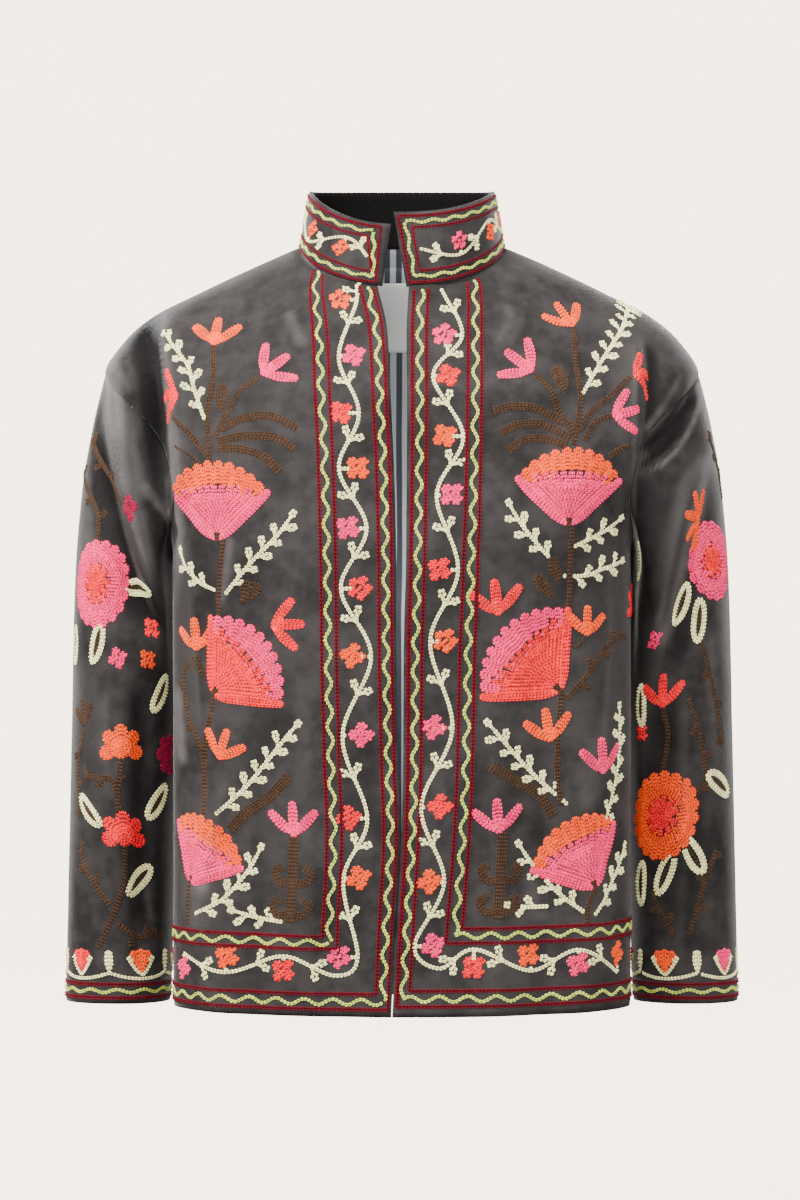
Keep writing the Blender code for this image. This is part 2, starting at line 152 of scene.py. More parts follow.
# Sections of a sleeve on the wearer's left from the armhole, 0, to the cuff, 1.
# down, outer_x, outer_z, inner_x, inner_z, half_depth, middle_y
SLEEVE_SECTIONS = (
    (0.00, 0.2435, -0.100, 0.1620, -0.250, 0.058, -0.017),
    (0.07, 0.2540, -0.142, 0.1660, -0.268, 0.064, -0.008),
    (0.16, 0.2630, -0.192, 0.1700, -0.292, 0.069, 0.004),
    (0.32, 0.2698, -0.275, 0.1775, -0.340, 0.071, 0.020),
    (0.55, 0.2732, -0.395, 0.1825, -0.425, 0.068, 0.028),
    (0.78, 0.2755, -0.505, 0.1870, -0.518, 0.060, 0.028),
    (1.00, 0.2780, -0.617, 0.1910, -0.617, 0.052, 0.025),
)
ARMHOLE_FADE = 0.28
# A sleeve leans on the side of the body, this far off its face, once it has left the armhole.
SLEEVE_CLEARS_BODY, CLEARS_AFTER, LEANS_SOFTLY_OVER = 0.0040, 0.05, 0.004
SLEEVE_ROWS, SLEEVE_COLUMNS = 126, 2 * ARMHOLE_ROWS - 1

# The collar's top edge. Its foot is the neck seam.
COLLAR_HALF_WIDTH, COLLAR_MIDDLE_Y, COLLAR_FRONT_DEPTH, COLLAR_BACK_DEPTH = 0.0765, 0.002, 0.074, 0.048
COLLAR_RIGHT_Z, COLLAR_LEFT_Z, COLLAR_SIDE_Z, COLLAR_BACK_Z = 0.0175, 0.0275, 0.0500, 0.0530
COLLAR_RIGHT_ENDS_X, COLLAR_LEFT_ENDS_X = (-0.0160, -0.0094), (0.0036, -0.0070)
COLLAR_SEAT, COLLAR_DIP_POWER = -0.0010, 1.4
COLLAR_ROWS, COLLAR_COLUMNS = 13, 121

# The lining covers the back's grid but for these rows and columns at its edges.
LINING_LEAVES_ROWS, LINING_LEAVES_COLUMNS = 3, 5
LABEL_ROWS, LABEL_COLUMNS = 20, 22

# The largest folds, as lines seen from the front or the back, in tenths of a millimetre. A positive height
# stands out of the cloth.
# start_x, start_z, end_x, end_z, bow, half_width, height
FRONT_FOLDS = metres(
    (-2060, -520, -1930, -1700, -80, 110, -105),
    (-1880, -700, -1800, -1900, -60, 110, 40),
    (-2400, -1100, -1900, -3300, -80, 120, 75),
    (-1480, -2700, -1500, -6400, 30, 140, 40),
    (-1150, -3000, -1180, -6400, -20, 140, -30),
    (2540, -1600, 1900, -4150, 100, 130, 65),
    (1880, -800, 1820, -1900, 50, 120, 30),
    (1500, -2900, 1460, -6400, -30, 150, 35),
    (1100, -3300, 1140, -6400, 20, 140, -28),
)
BACK_FOLDS = metres(
    (-2050, -600, -1880, -2000, -70, 115, -80),
    (2030, -650, 1860, -2050, 70, 115, -70),
    (-1580, -1000, -1480, -3300, 40, 140, 50),
    (1560, -1100, 1500, -3000, -40, 140, 45),
    (-2450, -1600, -1980, -3600, -60, 120, 65),
    (2480, -1700, 2000, -4000, 80, 130, 60),
    (-900, -3000, -960, -6400, 30, 170, 45),
    (120, -3400, 80, -6400, -20, 160, -35),
    (980, -2800, 930, -6400, -30, 180, 45),
)
FRONT_FOLDS_Y, BACK_FOLDS_Y, FOLDS_GROW_OVER = 0.005, 0.045, 0.03
# A crease fades past its ends over this length, and near them over these shares of its run.
CREASE_ENDS_OVER, CREASE_GROWS_OVER, CREASE_FADES_OVER = 0.02, 0.15, 0.25

# Finer creases, which only the shells have, in tenths of a millimetre. Each is steeper on one of its sides:
# its half widths are those to the left and to the right of whoever goes along it.
# start_x, start_z, end_x, end_z, bow, left_width, right_width, height
FRONT_CREASES = metres(
    (-2130, -580, -1930, -1800, -70, 40, 170, -101),
    (-1950, -460, -1840, -2300, -40, 100, 38, 61),
    (-2480, -850, -2180, -1300, -30, 90, 60, 61),
    (-2480, -1080, -1950, -3250, 100, 42, 180, -115),
    (-2390, -1050, -1850, -3200, 100, 110, 45, 68),
    (-2100, -1920, -1820, -2320, 20, 50, 50, 54),
    (-2060, -2050, -1850, -2620, 20, 60, 80, -47),
    (-2500, -3300, -2460, -5000, 30, 80, 140, 41),
    (-2150, -3400, -2180, -6200, -30, 110, 70, -43),
    (-2350, -4700, -2040, -5800, 40, 60, 100, 38),
    (1930, -1680, 2400, -1120, 50, 30, 60, -68),
    (1960, -1760, 2330, -1400, 30, 60, 30, -57),
    (1940, -1580, 2380, -1000, 50, 70, 35, 41),
    (1920, -720, 1870, -1750, -30, 38, 110, 54),
    (1990, -800, 1920, -1700, -30, 100, 40, -61),
    (2470, -1650, 2060, -3450, 80, 80, 120, 61),
    (2560, -1800, 2180, -3700, 80, 150, 60, -61),
    (2300, -3600, 2150, -5200, -40, 70, 120, 41),
    (2450, -4200, 2340, -6100, 40, 120, 60, -41),
    (-1730, -2250, -1560, -4200, 60, 60, 130, 57),
    (-1560, -2600, -1500, -5200, 30, 140, 60, -46),
    (-1380, -4200, -1650, -5900, 60, 70, 120, 49),
    (-750, -3800, -720, -6400, 20, 80, 120, 35),
    (-980, -520, -780, -900, 10, 40, 60, 32),
    (-1320, -1200, -900, -2300, -60, 140, 100, -32),
    (1300, -1200, 900, -2400, 60, 120, 140, -32),
    (1690, -2400, 1600, -4500, -50, 120, 60, 49),
    (1500, -4800, 1680, -6100, -50, 70, 130, 43),
    (720, -3600, 760, -6400, -20, 120, 80, 35),
    (1000, -500, 800, -920, -10, 60, 40, 32),
)
BACK_CREASES = metres(
    (-2050, -750, -1850, -1900, -70, 40, 100, -68),
    (2040, -800, 1850, -1950, 70, 100, 40, -68),
    (-2380, -1300, -1960, -1700, -20, 60, 50, 43),
    (2380, -1250, 1950, -1600, 20, 50, 60, 43),
    (-2400, -2000, -1950, -3600, -60, 50, 120, -68),
    (2420, -2100, 1980, -3800, 60, 120, 50, -68),
    (-500, -3000, -540, -6400, 30, 80, 120, -46),
    (560, -3300, 520, -6400, -20, 120, 80, 46),
    (-1350, -3400, -1310, -6400, 20, 70, 110, -46),
    (1380, -3200, 1360, -6400, -30, 110, 70, -46),
    (-1250, -1100, -700, -2000, -60, 100, 140, 41),
    (1200, -1200, 680, -2100, 60, 140, 100, 41),
    (-200, -1800, 150, -3300, 50, 100, 140, -35),
)
# Strokes of painted highlight and painted shade on the velvet, laid along its folds and edges. The last
# column is its strength, up to 1 for painted highlight or -1 for painted shade.
FRONT_PAINTED_LIGHT = metres(
    (-2080, -550, -1900, -3300, -50, 34, 170, -1.0),
    (-2001, -520, -1820, -3000, -60, 80, 24, 0.85),
    (-2411, -900, -2190, -2230, 39, 110, 30, 0.75),
    (-2240, -2060, -1845, -3100, 20, 90, 30, 0.75),
    (-2460, -960, -2250, -2300, 39, 30, 150, -0.95),
    (-2290, -2120, -1910, -3200, 20, 30, 140, -0.95),
    (-2550, -1750, -2540, -2700, 10, 80, 70, 0.45),
    (-2110, -1940, -1800, -2290, -10, 50, 40, 0.85),
    (-2290, -480, -2260, -1700, 60, 120, 120, 0.4),
    (-2050, -400, -2120, -900, 10, 60, 90, -0.6),
    (-1810, -3500, -1760, -4300, 10, 60, 60, 0.75),
    (-1500, -4700, -1640, -5300, -20, 60, 90, 0.55),
    (-1380, -2300, -1480, -3000, -20, 60, 60, 0.5),
    (-918, -500, -760, -900, 10, 60, 80, 0.42),
    (-960, -3300, -1130, -4200, -40, 160, 140, -0.45),
    (-1750, -5000, -1600, -5600, 10, 160, 120, 0.35),
    (-1100, -1500, -930, -2200, 30, 160, 120, -0.3),
    (-2150, -3300, -2180, -5900, 60, 120, 160, -0.5),
    (-2400, -3500, -2360, -4700, 30, 70, 90, 0.4),
    (-2090, -5000, -2000, -5600, 40, 50, 90, 0.6),
    (1886, -1870, 2296, -1583, 40, 30, 30, 0.8),
    (2240, -1640, 2460, -1150, 30, 30, 30, 0.8),
    (1870, -1710, 2400, -1110, 30, 50, 34, -0.95),
    (1900, -1810, 2260, -1450, 30, 30, 34, -0.85),
    (1900, -1550, 2300, -950, 40, 40, 40, 0.45),
    (1900, -1650, 1860, -3900, 10, 140, 26, -0.9),
    (1880, -600, 1850, -3700, -10, 20, 40, 0.5),
    (2470, -1600, 2300, -2620, -30, 70, 90, 0.55),
    (2330, -2450, 2070, -3400, 20, 80, 80, 0.55),
    (2200, -1900, 2060, -3200, 40, 110, 130, -0.6),
    (2280, -400, 2470, -1180, -60, 110, 90, 0.65),
    (2050, -400, 2200, -1000, -20, 100, 100, -0.35),
    (2160, -3500, 2260, -5900, 40, 120, 120, -0.5),
    (2520, -3000, 2600, -4600, 20, 80, 80, 0.4),
    (1600, -3900, 1500, -4700, 40, 100, 130, 0.4),
    (1100, -1900, 960, -3000, 40, 140, 160, -0.35),
    (1020, -5000, 1180, -5500, 40, 90, 130, 0.35),
    (900, -450, 760, -900, 10, 90, 70, 0.3),
    lengths=7,
)
BACK_PAINTED_LIGHT = metres(
    (-2060, -600, -1880, -3100, -60, 160, 34, -0.9),
    (-1960, -600, -1820, -2900, -60, 26, 90, 0.7),
    (2060, -600, 1880, -3100, 60, 34, 160, -0.9),
    (1960, -600, 1820, -2900, 60, 90, 26, 0.7),
    (-2420, -950, -2200, -2200, 30, 50, 100, 0.6),
    (2420, -1000, 2180, -2300, -30, 100, 50, 0.6),
    (-2200, -2200, -1900, -3300, 20, 130, 40, -0.7),
    (2220, -2300, 1900, -3400, -20, 40, 130, -0.7),
    (-960, -2900, -1040, -5600, 40, 100, 140, -0.45),
    (1020, -3000, 940, -5700, -40, 140, 100, -0.45),
    (-700, -3600, -760, -5600, 30, 80, 120, 0.45),
    (720, -3500, 700, -5500, -30, 120, 80, 0.45),
    (100, -1000, -100, -2300, 60, 140, 120, 0.35),
    (-1300, -700, -1000, -1400, 40, 90, 130, 0.45),
    (1300, -700, 1020, -1500, -40, 130, 90, 0.45),
    (-2250, -3800, -2200, -5600, 40, 120, 120, -0.45),
    (2250, -3900, 2200, -5700, -40, 120, 120, -0.45),
    lengths=7,
)
# Waves that keep the cloth from lying smooth.
# across_x, across_z, phase, height
UNEVENNESS = (
    (38.0, 14.0, 0.4, 0.00110),
    (-23.0, 33.0, 1.9, 0.00100),
    (67.0, -25.0, 3.1, 0.00070),
    (95.0, 60.0, 5.0, 0.00042),
    (-128.0, 48.0, 0.9, 0.00034),
    (45.0, 118.0, 2.2, 0.00034),
)

CLOTH, COLLAR_CLOTH, LINING_CLOTH, LABEL_CLOTH = 0.002, 0.003, 0.001, 0.001
SEAM_GAP = 0.0003
LABEL_WIDTH, LABEL_MIDDLE_X = 0.060, -0.008
LABEL_TOP_Z, LABEL_BOTTOM_Z = -0.022, -0.079
# How much of its thickness a piece keeps at its edges, which are turned in and pressed.
PRESSED_EDGE = 0.45
# The flat cloth is known on a grid of this step. Its columns are a point, a normal and whether it is cloth.
CLOTH_STEP, ON_CLOTH = 0.003, 6

# A link of chain stitch is a flat length of cord and two raised grains on it, which open like a V.
# along, across, raised
CORD = [
    (along, across, raised)
    for along in (-0.54, 0.54)
    for across, raised in ((-0.50, -0.2), (0.0, 0.15), (0.50, -0.2))
]
CORD_FACES = ((0, 3, 4), (0, 4, 1), (1, 4, 5), (1, 5, 2))
GRAIN = (
    (-0.54, 0.03, -0.10),
    (0.06, 0.07, 0.10),
    (0.56, 0.26, -0.10),
    (0.26, 0.50, -0.15),
    (-0.30, 0.40, -0.10),
    (0.00, 0.27, 1.0),
)
GRAIN_FACES = ((0, 1, 5), (1, 2, 5), (2, 3, 5), (3, 4, 5), (4, 0, 5))
LINK = ((CORD, CORD_FACES, 1), (GRAIN, GRAIN_FACES, 1), (GRAIN, GRAIN_FACES, -1))
STITCH_UNEVENNESS = 0.18
ROW_SPACING = 0.0026
TIP_TAPER, TIP_INSET = 0.62, 0.0010
# Each link takes up the cells round its own, on a grid with a margin.
PATCH_CELL, PATCH_MARGIN = 0.001, 3
VINE_STEPS = 16
# A fan's half angle, and widths of parts of motifs that don't grow with them
FAN_SPREAD = 47
FAN_NOTCH, FAN_EDGE, FAN_RIB, FAN_LOBE = 0.0045, 0.0092, 0.0064, 0.0100
EYE_LOBES, EYE_LOBE, RIM_LOBE, RIM_LOBE_EVERY = 10, 0.0062, 0.0106, 0.0100
SLIT_LEAF_INSET, CUP_LEAF = 0.0012, 0.0046
STEM_ROWS_APART = 0.0021
SPRIG_LEAF, SPRIG_LEAVES_EVERY, SPRIG_BARE_FOOT, SPRIG_BARE_TIP = 0.0138, 0.0150, 0.011, 0.003
TWIG_EVERY, TWIG_LENGTH, TWIG_WIDTH = 6, 0.0125, 0.0065

# Motifs on the front at the wearer's right, placed in the photo's frame.
# kind, x, y, turn, size in mm, colour and for some a second colour
RIGHT_MOTIFS = (
    ("tulip", 214, 344, 90, 31, "orange"),
    ("tulip", 261, 376, 40, 31, "pink"),
    ("tulip", 177, 396, 168, 30, "coral"),
    ("fan", 217, 541, 91, 67, "orange", "pink"),
    ("tulip", 270, 624, 4, 30, "coral"),
    ("fan", 212, 694, 43, 70, "pink", "coral"),
    ("tulip", 196, 650, 96, 28, "orange"),
    ("tulip", 217, 760, 68, 28, "orange"),
    ("fan", 189, 884, 64, 60, "orange", "pink"),
    ("tulip", 292, 838, 92, 30, "pink"),
    ("anchor", 289, 924, 90, 72, "brown"),
    ("petal", 243, 602, 75, 20, "brown"),
    ("petal", 239, 604, 40, 24, "brown"),
    ("petal", 219, 412, 84, 26, "brown"),
    ("petal", 203, 678, 116, 20, "brown"),
)
# Sprigs are cream. Twigs are brown, and so are stems, which a number of rows stands for.
# kind or rows, and then the x and y of each place
RIGHT_STEMS = (
    (2, 224, 540, 219, 600, 214, 690, 206, 760, 205, 815),
    (2, 212, 462, 208, 420, 211, 380, 214, 346),
    (2, 214, 438, 226, 414, 240, 392, 260, 378),
    (3, 216, 432, 250, 417, 275, 417, 298, 427),
    (3, 216, 440, 252, 435, 278, 440, 294, 451),
    (3, 216, 450, 244, 450, 264, 459, 281, 474),
    (2, 206, 456, 190, 434, 172, 414),
    (1, 202, 462, 188, 452, 175, 446),
    ("sprig", 209, 430, 196, 392, 184, 362, 162, 331),
    ("sprig", 226, 596, 250, 566, 276, 536, 296, 508),
    ("sprig", 215, 592, 200, 584, 186, 566, 179, 545),
    ("sprig", 214, 816, 244, 790, 272, 758, 300, 722),
    ("sprig", 195, 916, 220, 900, 244, 874, 262, 842),
    ("sprig", 285, 921, 255, 919, 226, 909),
    (4, 232, 831, 246, 812, 268, 796, 288, 776),
    (2, 190, 884, 188, 905, 187, 926),
    (1, 216, 640, 240, 640, 262, 628),
    ("twig", 206, 770, 196, 735, 186, 705, 184, 670),
)
LEFT_MOTIFS = (
    ("tulip", 573, 326, 114, 30, "orange"),
    ("tulip", 533, 372, 140, 31, "pink"),
    ("tulip", 633, 378, 22, 26, "coral"),
    ("tulip", 611, 415, 15, 27, "pink"),
    ("fan", 569, 526, 88, 66, "orange", "pink"),
    ("tulip", 500, 616, 98, 31, "coral"),
    ("tulip", 588, 634, 88, 26, "orange"),
    ("tulip", 634, 612, 140, 24, "coral"),
    ("fan", 563, 694, 134, 74, "pink", "coral"),
    ("tulip", 549, 742, 100, 29, "orange"),
    ("tulip", 604, 772, 96, 31, "pink"),
    ("tulip", 497, 832, 96, 30, "pink"),
    ("anchor", 497, 918, 90, 70, "brown"),
    ("fan", 596, 889, 114, 64, "orange", "pink"),
    ("petal", 552, 600, 128, 26, "brown"),
    ("petal", 560, 585, 110, 24, "brown"),
    ("petal", 566, 396, 108, 28, "brown"),
)
LEFT_STEMS = (
    (2, 573, 520, 570, 600, 562, 690, 557, 760, 560, 806),
    (2, 572, 446, 579, 400, 577, 360, 573, 330),
    (2, 572, 436, 560, 410, 550, 390, 538, 374),
    (3, 572, 428, 542, 411, 516, 405, 494, 411),
    (3, 570, 437, 542, 425, 520, 425, 502, 433),
    (3, 568, 447, 546, 439, 526, 441, 507, 449),
    (2, 572, 440, 588, 414, 610, 396, 632, 378),
    (2, 584, 442, 597, 424, 611, 416),
    (2, 610, 456, 620, 448, 630, 445),
    ("sprig", 580, 396, 600, 364, 622, 332, 641, 299),
    ("sprig", 556, 564, 540, 548, 522, 526, 508, 500),
    ("sprig", 566, 549, 585, 540, 606, 530, 624, 514),
    ("sprig", 563, 576, 585, 574, 606, 568, 624, 560),
    ("sprig", 568, 805, 540, 780, 510, 750, 482, 717),
    ("sprig", 586, 913, 562, 896, 538, 870, 517, 842),
    ("sprig", 593, 917, 606, 896, 618, 868, 626, 841),
    ("sprig", 547, 907, 525, 907, 503, 903),
    ("sprig", 600, 832, 612, 796, 619, 750, 620, 702),
    (4, 552, 816, 538, 796, 514, 782, 490, 767),
    ("twig", 566, 700, 586, 678, 604, 652, 620, 636),
    (2, 596, 889, 590, 905, 588, 926),
    (1, 562, 640, 575, 646, 588, 634),
)
# The vines of the fronts' borders: each bend's flower, in the photo's frame, and how far from it the stem
# passes.
# x, y, colour, aside, below
RIGHT_BAND = (
    (354, 289, None, 0, 0),
    (340, 299, "orange", 17, 0),
    (355, 355, "pink", -16, 0),
    (341, 412, "coral", 19, 0),
    (356, 468, "orange", -18, 0),
    (346, 530, "pink", 19, 0),
    (358, 588, "coral", -18, 0),
    (351, 657, "orange", 19, 0),
    (360, 734, "pink", -17, 0),
    (350, 817, "coral", 19, 0),
    (359, 878, "orange", -17, 0),
    (338, 957, "pink", 20, 2),
    (338, 957, None, -3, 20),
    (282, 972, "coral", 0, -16),
    (226, 957, "orange", 0, 17),
    (184, 967, "pink", 0, -15),
)
LEFT_BAND = (
    (441, 289, None, 0, 0),
    (445, 336, "pink", 17, 0),
    (448, 376, "coral", -14, 0),
    (446, 435, "orange", 17, 0),
    (453, 494, "pink", -18, 0),
    (441, 571, "coral", 19, 0),
    (446, 642, "orange", -17, 0),
    (434, 728, "pink", 18, 0),
    (439, 807, "coral", -16, 0),
    (428, 881, "orange", 18, 0),
    (432, 947, "pink", -16, 0),
    (432, 947, None, 6, 22),
    (475, 967, "coral", 0, -17),
    (530, 955, "orange", 0, 17),
    (578, 966, "pink", 0, -16),
    (617, 955, "orange", 0, 16),
)
# The sleeve at the wearer's right, in the photo's frame.
SLEEVE_RIGHT_MOTIFS = (
    ("four", 128, 510, 30, 24, "crimson"),
    ("round", 97, 583, 80, 37, "pink", "coral"),
    ("slit", 141, 588, 8, 27, "cream"),
    ("slit", 97, 641, 74, 27, "cream"),
    ("slit", 76, 646, 92, 24, "cream"),
    ("four", 153, 628, 45, 21, "coral"),
    ("four", 118, 660, 20, 21, "pink"),
    ("four", 149, 661, 40, 21, "orange"),
    ("slit", 161, 692, 62, 27, "cream"),
    ("tulip", 84, 726, 100, 24, "brown"),
    ("half", 122, 758, 92, 29, "orange"),
    ("half", 171, 755, 180, 25, "crimson", "crimson"),
    ("slit", 87, 811, 142, 27, "cream"),
    ("slit", 159, 802, 52, 27, "cream"),
    ("half", 126, 845, 88, 30, "coral"),
    ("slit", 139, 879, 40, 27, "cream"),
)
SLEEVE_RIGHT_STEMS = (
    ("twig", 122, 503, 108, 472, 92, 438),
    ("twig", 98, 545, 96, 505, 84, 470),
    (2, 122, 758, 119, 800, 126, 845, 116, 905, 98, 948),
    ("twig", 118, 800, 112, 780, 84, 776),
    ("twig", 110, 906, 90, 876, 80, 850),
    ("twig", 118, 925, 138, 938, 158, 930),
    ("twig", 84, 728, 78, 770, 82, 812),
)
SLEEVE_LEFT_MOTIFS = (
    ("star", 699, 521, 160, 32, "orange"),
    ("round", 713, 562, 100, 34, "pink", "coral"),
    ("slit", 641, 562, 58, 28, "cream"),
    ("slit", 682, 604, 62, 28, "cream"),
    ("slit", 699, 622, 84, 27, "cream"),
    ("four", 655, 640, 30, 21, "pink"),
    ("tulip", 661, 706, 92, 30, "coral"),
    ("slit", 640, 706, 96, 27, "cream"),
    ("four", 641, 734, 45, 18, "coral"),
    ("slit", 720, 783, 150, 28, "cream"),
    ("round", 662, 817, 90, 38, "orange", "coral"),
    ("slit", 640, 881, 96, 28, "cream"),
    ("slit", 666, 873, 74, 28, "cream"),
    ("slit", 692, 853, 122, 28, "cream"),
)
SLEEVE_LEFT_STEMS = (
    ("twig", 722, 498, 717, 466, 708, 436),
    (2, 661, 708, 668, 745, 662, 780),
    ("twig", 700, 636, 712, 690, 722, 745),
    ("twig", 690, 935, 702, 895, 716, 850),
    ("twig", 676, 940, 662, 915, 652, 890),
    ("twig", 690, 700, 700, 740, 706, 790),
)
# The sleeves' hidden halves, in mm from the outer line towards the back and up from the cuff.
SLEEVE_BACK_MOTIFS = (
    ("round", 66, 404, 90, 32, "orange", "coral"),
    ("tulip", 112, 348, 70, 27, "pink"),
    ("slit", 28, 360, 120, 27, "cream"),
    ("slit", 104, 424, 30, 27, "cream"),
    ("four", 40, 314, 20, 21, "coral"),
    ("half", 84, 276, 90, 24, "pink", "coral"),
    ("slit", 120, 288, 40, 27, "cream"),
    ("slit", 40, 254, 140, 27, "cream"),
    ("fan", 72, 150, 90, 56, "orange", "pink"),
    ("slit", 22, 170, 110, 27, "cream"),
    ("slit", 126, 176, 60, 27, "cream"),
    ("four", 30, 112, 40, 20, "pink"),
    ("four", 118, 112, 10, 20, "coral"),
)
SLEEVE_BACK_STEMS = (
    (2, 68, 372, 78, 330, 84, 278),
    (2, 84, 276, 76, 236, 72, 206),
    (2, 72, 150, 70, 110, 66, 74),
    ("twig", 76, 330, 96, 322, 112, 346),
    ("twig", 72, 104, 96, 92, 112, 84),
    ("sprig", 60, 74, 40, 84, 20, 92),
)
# One half of the back, in mm from its middle and up from the hem. The other half mirrors it.
BACK_MOTIFS = (
    ("tulip", 92, 556, 88, 31, "orange"),
    ("tulip", 138, 512, 44, 31, "pink"),
    ("tulip", 42, 520, 128, 31, "coral"),
    ("fan", 94, 396, 90, 66, "orange", "pink"),
    ("tulip", 176, 430, 60, 29, "coral"),
    ("tulip", 30, 388, 98, 30, "pink"),
    ("tulip", 168, 330, 84, 28, "orange"),
    ("fan", 70, 264, 46, 72, "pink", "coral"),
    ("tulip", 36, 292, 120, 28, "orange"),
    ("fan", 196, 236, 100, 60, "orange", "pink"),
    ("tulip", 56, 196, 64, 29, "orange"),
    ("fan", 96, 104, 78, 62, "orange", "pink"),
    ("tulip", 168, 166, 92, 30, "pink"),
    ("anchor", 168, 78, 90, 74, "brown"),
    ("tulip", 226, 150, 94, 28, "coral"),
)
BACK_STEMS = (
    (2, 94, 396, 84, 350, 72, 300, 68, 262),
    (2, 92, 470, 92, 510, 92, 556),
    (2, 94, 486, 112, 500, 136, 512),
    (2, 90, 486, 66, 506, 44, 520),
    (2, 96, 478, 126, 492, 152, 484, 168, 470),
    (2, 88, 478, 60, 488, 36, 480, 22, 466),
    (2, 68, 262, 62, 214, 80, 160, 96, 106),
    (3, 70, 178, 44, 160, 26, 130),
    (2, 226, 150, 228, 110, 222, 78),
    ("twig", 120, 380, 150, 372, 168, 330),
    ("sprig", 98, 512, 122, 546, 150, 580),
    ("sprig", 80, 340, 110, 352, 140, 350),
    ("sprig", 74, 320, 50, 340, 20, 346),
    ("sprig", 196, 236, 200, 280, 190, 330),
    ("sprig", 88, 130, 120, 150, 146, 196),
    ("sprig", 70, 84, 46, 92, 20, 88),
    ("sprig", 186, 84, 204, 104, 208, 140),
)
# The middle of the back.
BACK_MIDDLE_MOTIFS = (
    ("round", 0, 446, 90, 32, "pink", "coral"),
    ("half", 0, 560, 90, 25, "orange", "pink"),
    ("four", 0, 344, 45, 22, "coral"),
    ("round", 0, 218, 90, 28, "orange", "coral"),
    ("slit", -22, 586, 130, 26, "cream"),
    ("slit", 22, 586, 50, 26, "cream"),
)
BACK_MIDDLE_STEMS = (
    (2, 0, 556, 3, 520, 0, 478),
    (2, 0, 414, -3, 340, 0, 246),
    (2, 0, 190, 3, 130, 0, 78),
)
# Lines of the borders: how far in from the free edge at the hem and at the neck, and how far up from the
# hem.
# in_at_hem, in_at_neck, up, colour, wave height
RIGHT_LINES = (
    (0.0028, 0.0040, 0.0062, "wine", 0),
    (0.0074, 0.0088, 0.0120, "green", 0.0023),
    (0.0128, 0.0145, 0.0185, "wine", 0),
    (0.0460, 0.0500, 0.0545, "wine", 0),
    (0.0526, 0.0570, 0.0595, "green", 0.0023),
    (0.0577, 0.0618, 0.0645, "wine", 0),
)
LEFT_LINES = (
    (0.0034, 0.0048, 0.0085, "wine", 0),
    (0.0080, 0.0108, 0.0145, "green", 0.0023),
    (0.0130, 0.0164, 0.0210, "wine", 0),
    (0.0405, 0.0508, 0.0590, "wine", 0),
    (0.0475, 0.0568, 0.0648, "green", 0.0023),
    (0.0530, 0.0618, 0.0705, "wine", 0),
)
WAVE_PERIOD, WINE_WIDTH = 0.0230, 1.25
VINE_UP, VINE_PITCH, VINE_SWING, VINE_FLOWER_LIFT = 0.0355, 0.0430, 0.0125, 0.0045
NECK_LEAVES = 0.0035
# The hem's lines end past the side seams, and the back's vine just before them.
PAST_SIDE_SEAM, BACK_VINE = 0.3, (-0.28, 0.285)
# The collar's vine: where its stem and its hidden flowers start and end, and how it passes its flowers.
COLLAR_STEM_FROM, COLLAR_STEM_TO, COLLAR_STEM_DROP = 0.016, 0.022, 0.006
COLLAR_FLOWERS, COLLAR_FLOWERS_FROM, COLLAR_FLOWERS_TO = 7, 0.125, 0.095
COLLAR_FLOWER_LIFT, COLLAR_SWING = 0.0015, 0.0088
COLLAR_FLOWER, COLLAR_LEAF, COLLAR_STEM = 0.0180, 0.0112, 0.95
COLLAR_LINE_WIDTH, COLLAR_WAVE_PERIOD = 0.9, 0.8 * WAVE_PERIOD
# in from the collar's edges, colour, wave height
COLLAR_LINES = ((0.0035, "wine", 0), (0.0082, "green", 0.0010), (0.0128, "wine", 0))
# x, y and colour of the collar's front flowers, in the photo's frame
COLLAR_FRONT = ((337, 254, "orange"), (460, 240, "pink"), (491, 234, "orange"))
CUFF_LINES = ((0.0050, "wine", 0), (0.0105, "green", 0.0013), (0.0160, "wine", 0))
CUFF_TULIPS, CUFF_TULIP_UP, CUFF_TULIP, CUFF_SCALLOP_UP, CUFF_SCALLOP_HIGH = 9, 0.0230, 0.023, 0.0205, 0.005
CUFF_PETAL_LIFT, CUFF_PETAL_LENGTH, CUFF_PETAL_WIDTH = 0.002, 0.020, 0.0070
FLOWER_COLOURS = ("orange", "pink", "coral")

# Wool colours, as linear red, green and blue
WOOL = {
    "cream": (1.0, 0.880, 0.420),
    "pink": (1.000, 0.022, 0.145),
    "coral": (0.880, 0.012, 0.022),
    "orange": (1.000, 0.078, 0.007),
    "brown": (0.058, 0.030, 0.016),
    "wine": (0.110, 0.002, 0.008),
    "crimson": (0.30, 0.006, 0.040),
    "green": (0.560, 0.640, 0.110),
}
VELVET = (0.0184, 0.0163, 0.0157)
FACING_GROOVE, FACING_RIB = (0.0012, 0.0010, 0.0010), (0.0036, 0.0031, 0.0029)
LINING_NAVY, LINING_PALE, LINING_GAPS = (0.010, 0.013, 0.020), (0.26, 0.265, 0.28), (0.09, 0.09, 0.10)
LABEL_LIGHT, LABEL_WORN = (0.46, 0.455, 0.44), (0.34, 0.335, 0.32)
RIB_PITCH, STRIPE_PITCH, STRIPES_START = 0.0024, 0.0100, 0.0075
LINING_THREAD, LABEL_THREAD, THREADS_START = 0.0007, 0.0006, 900.0


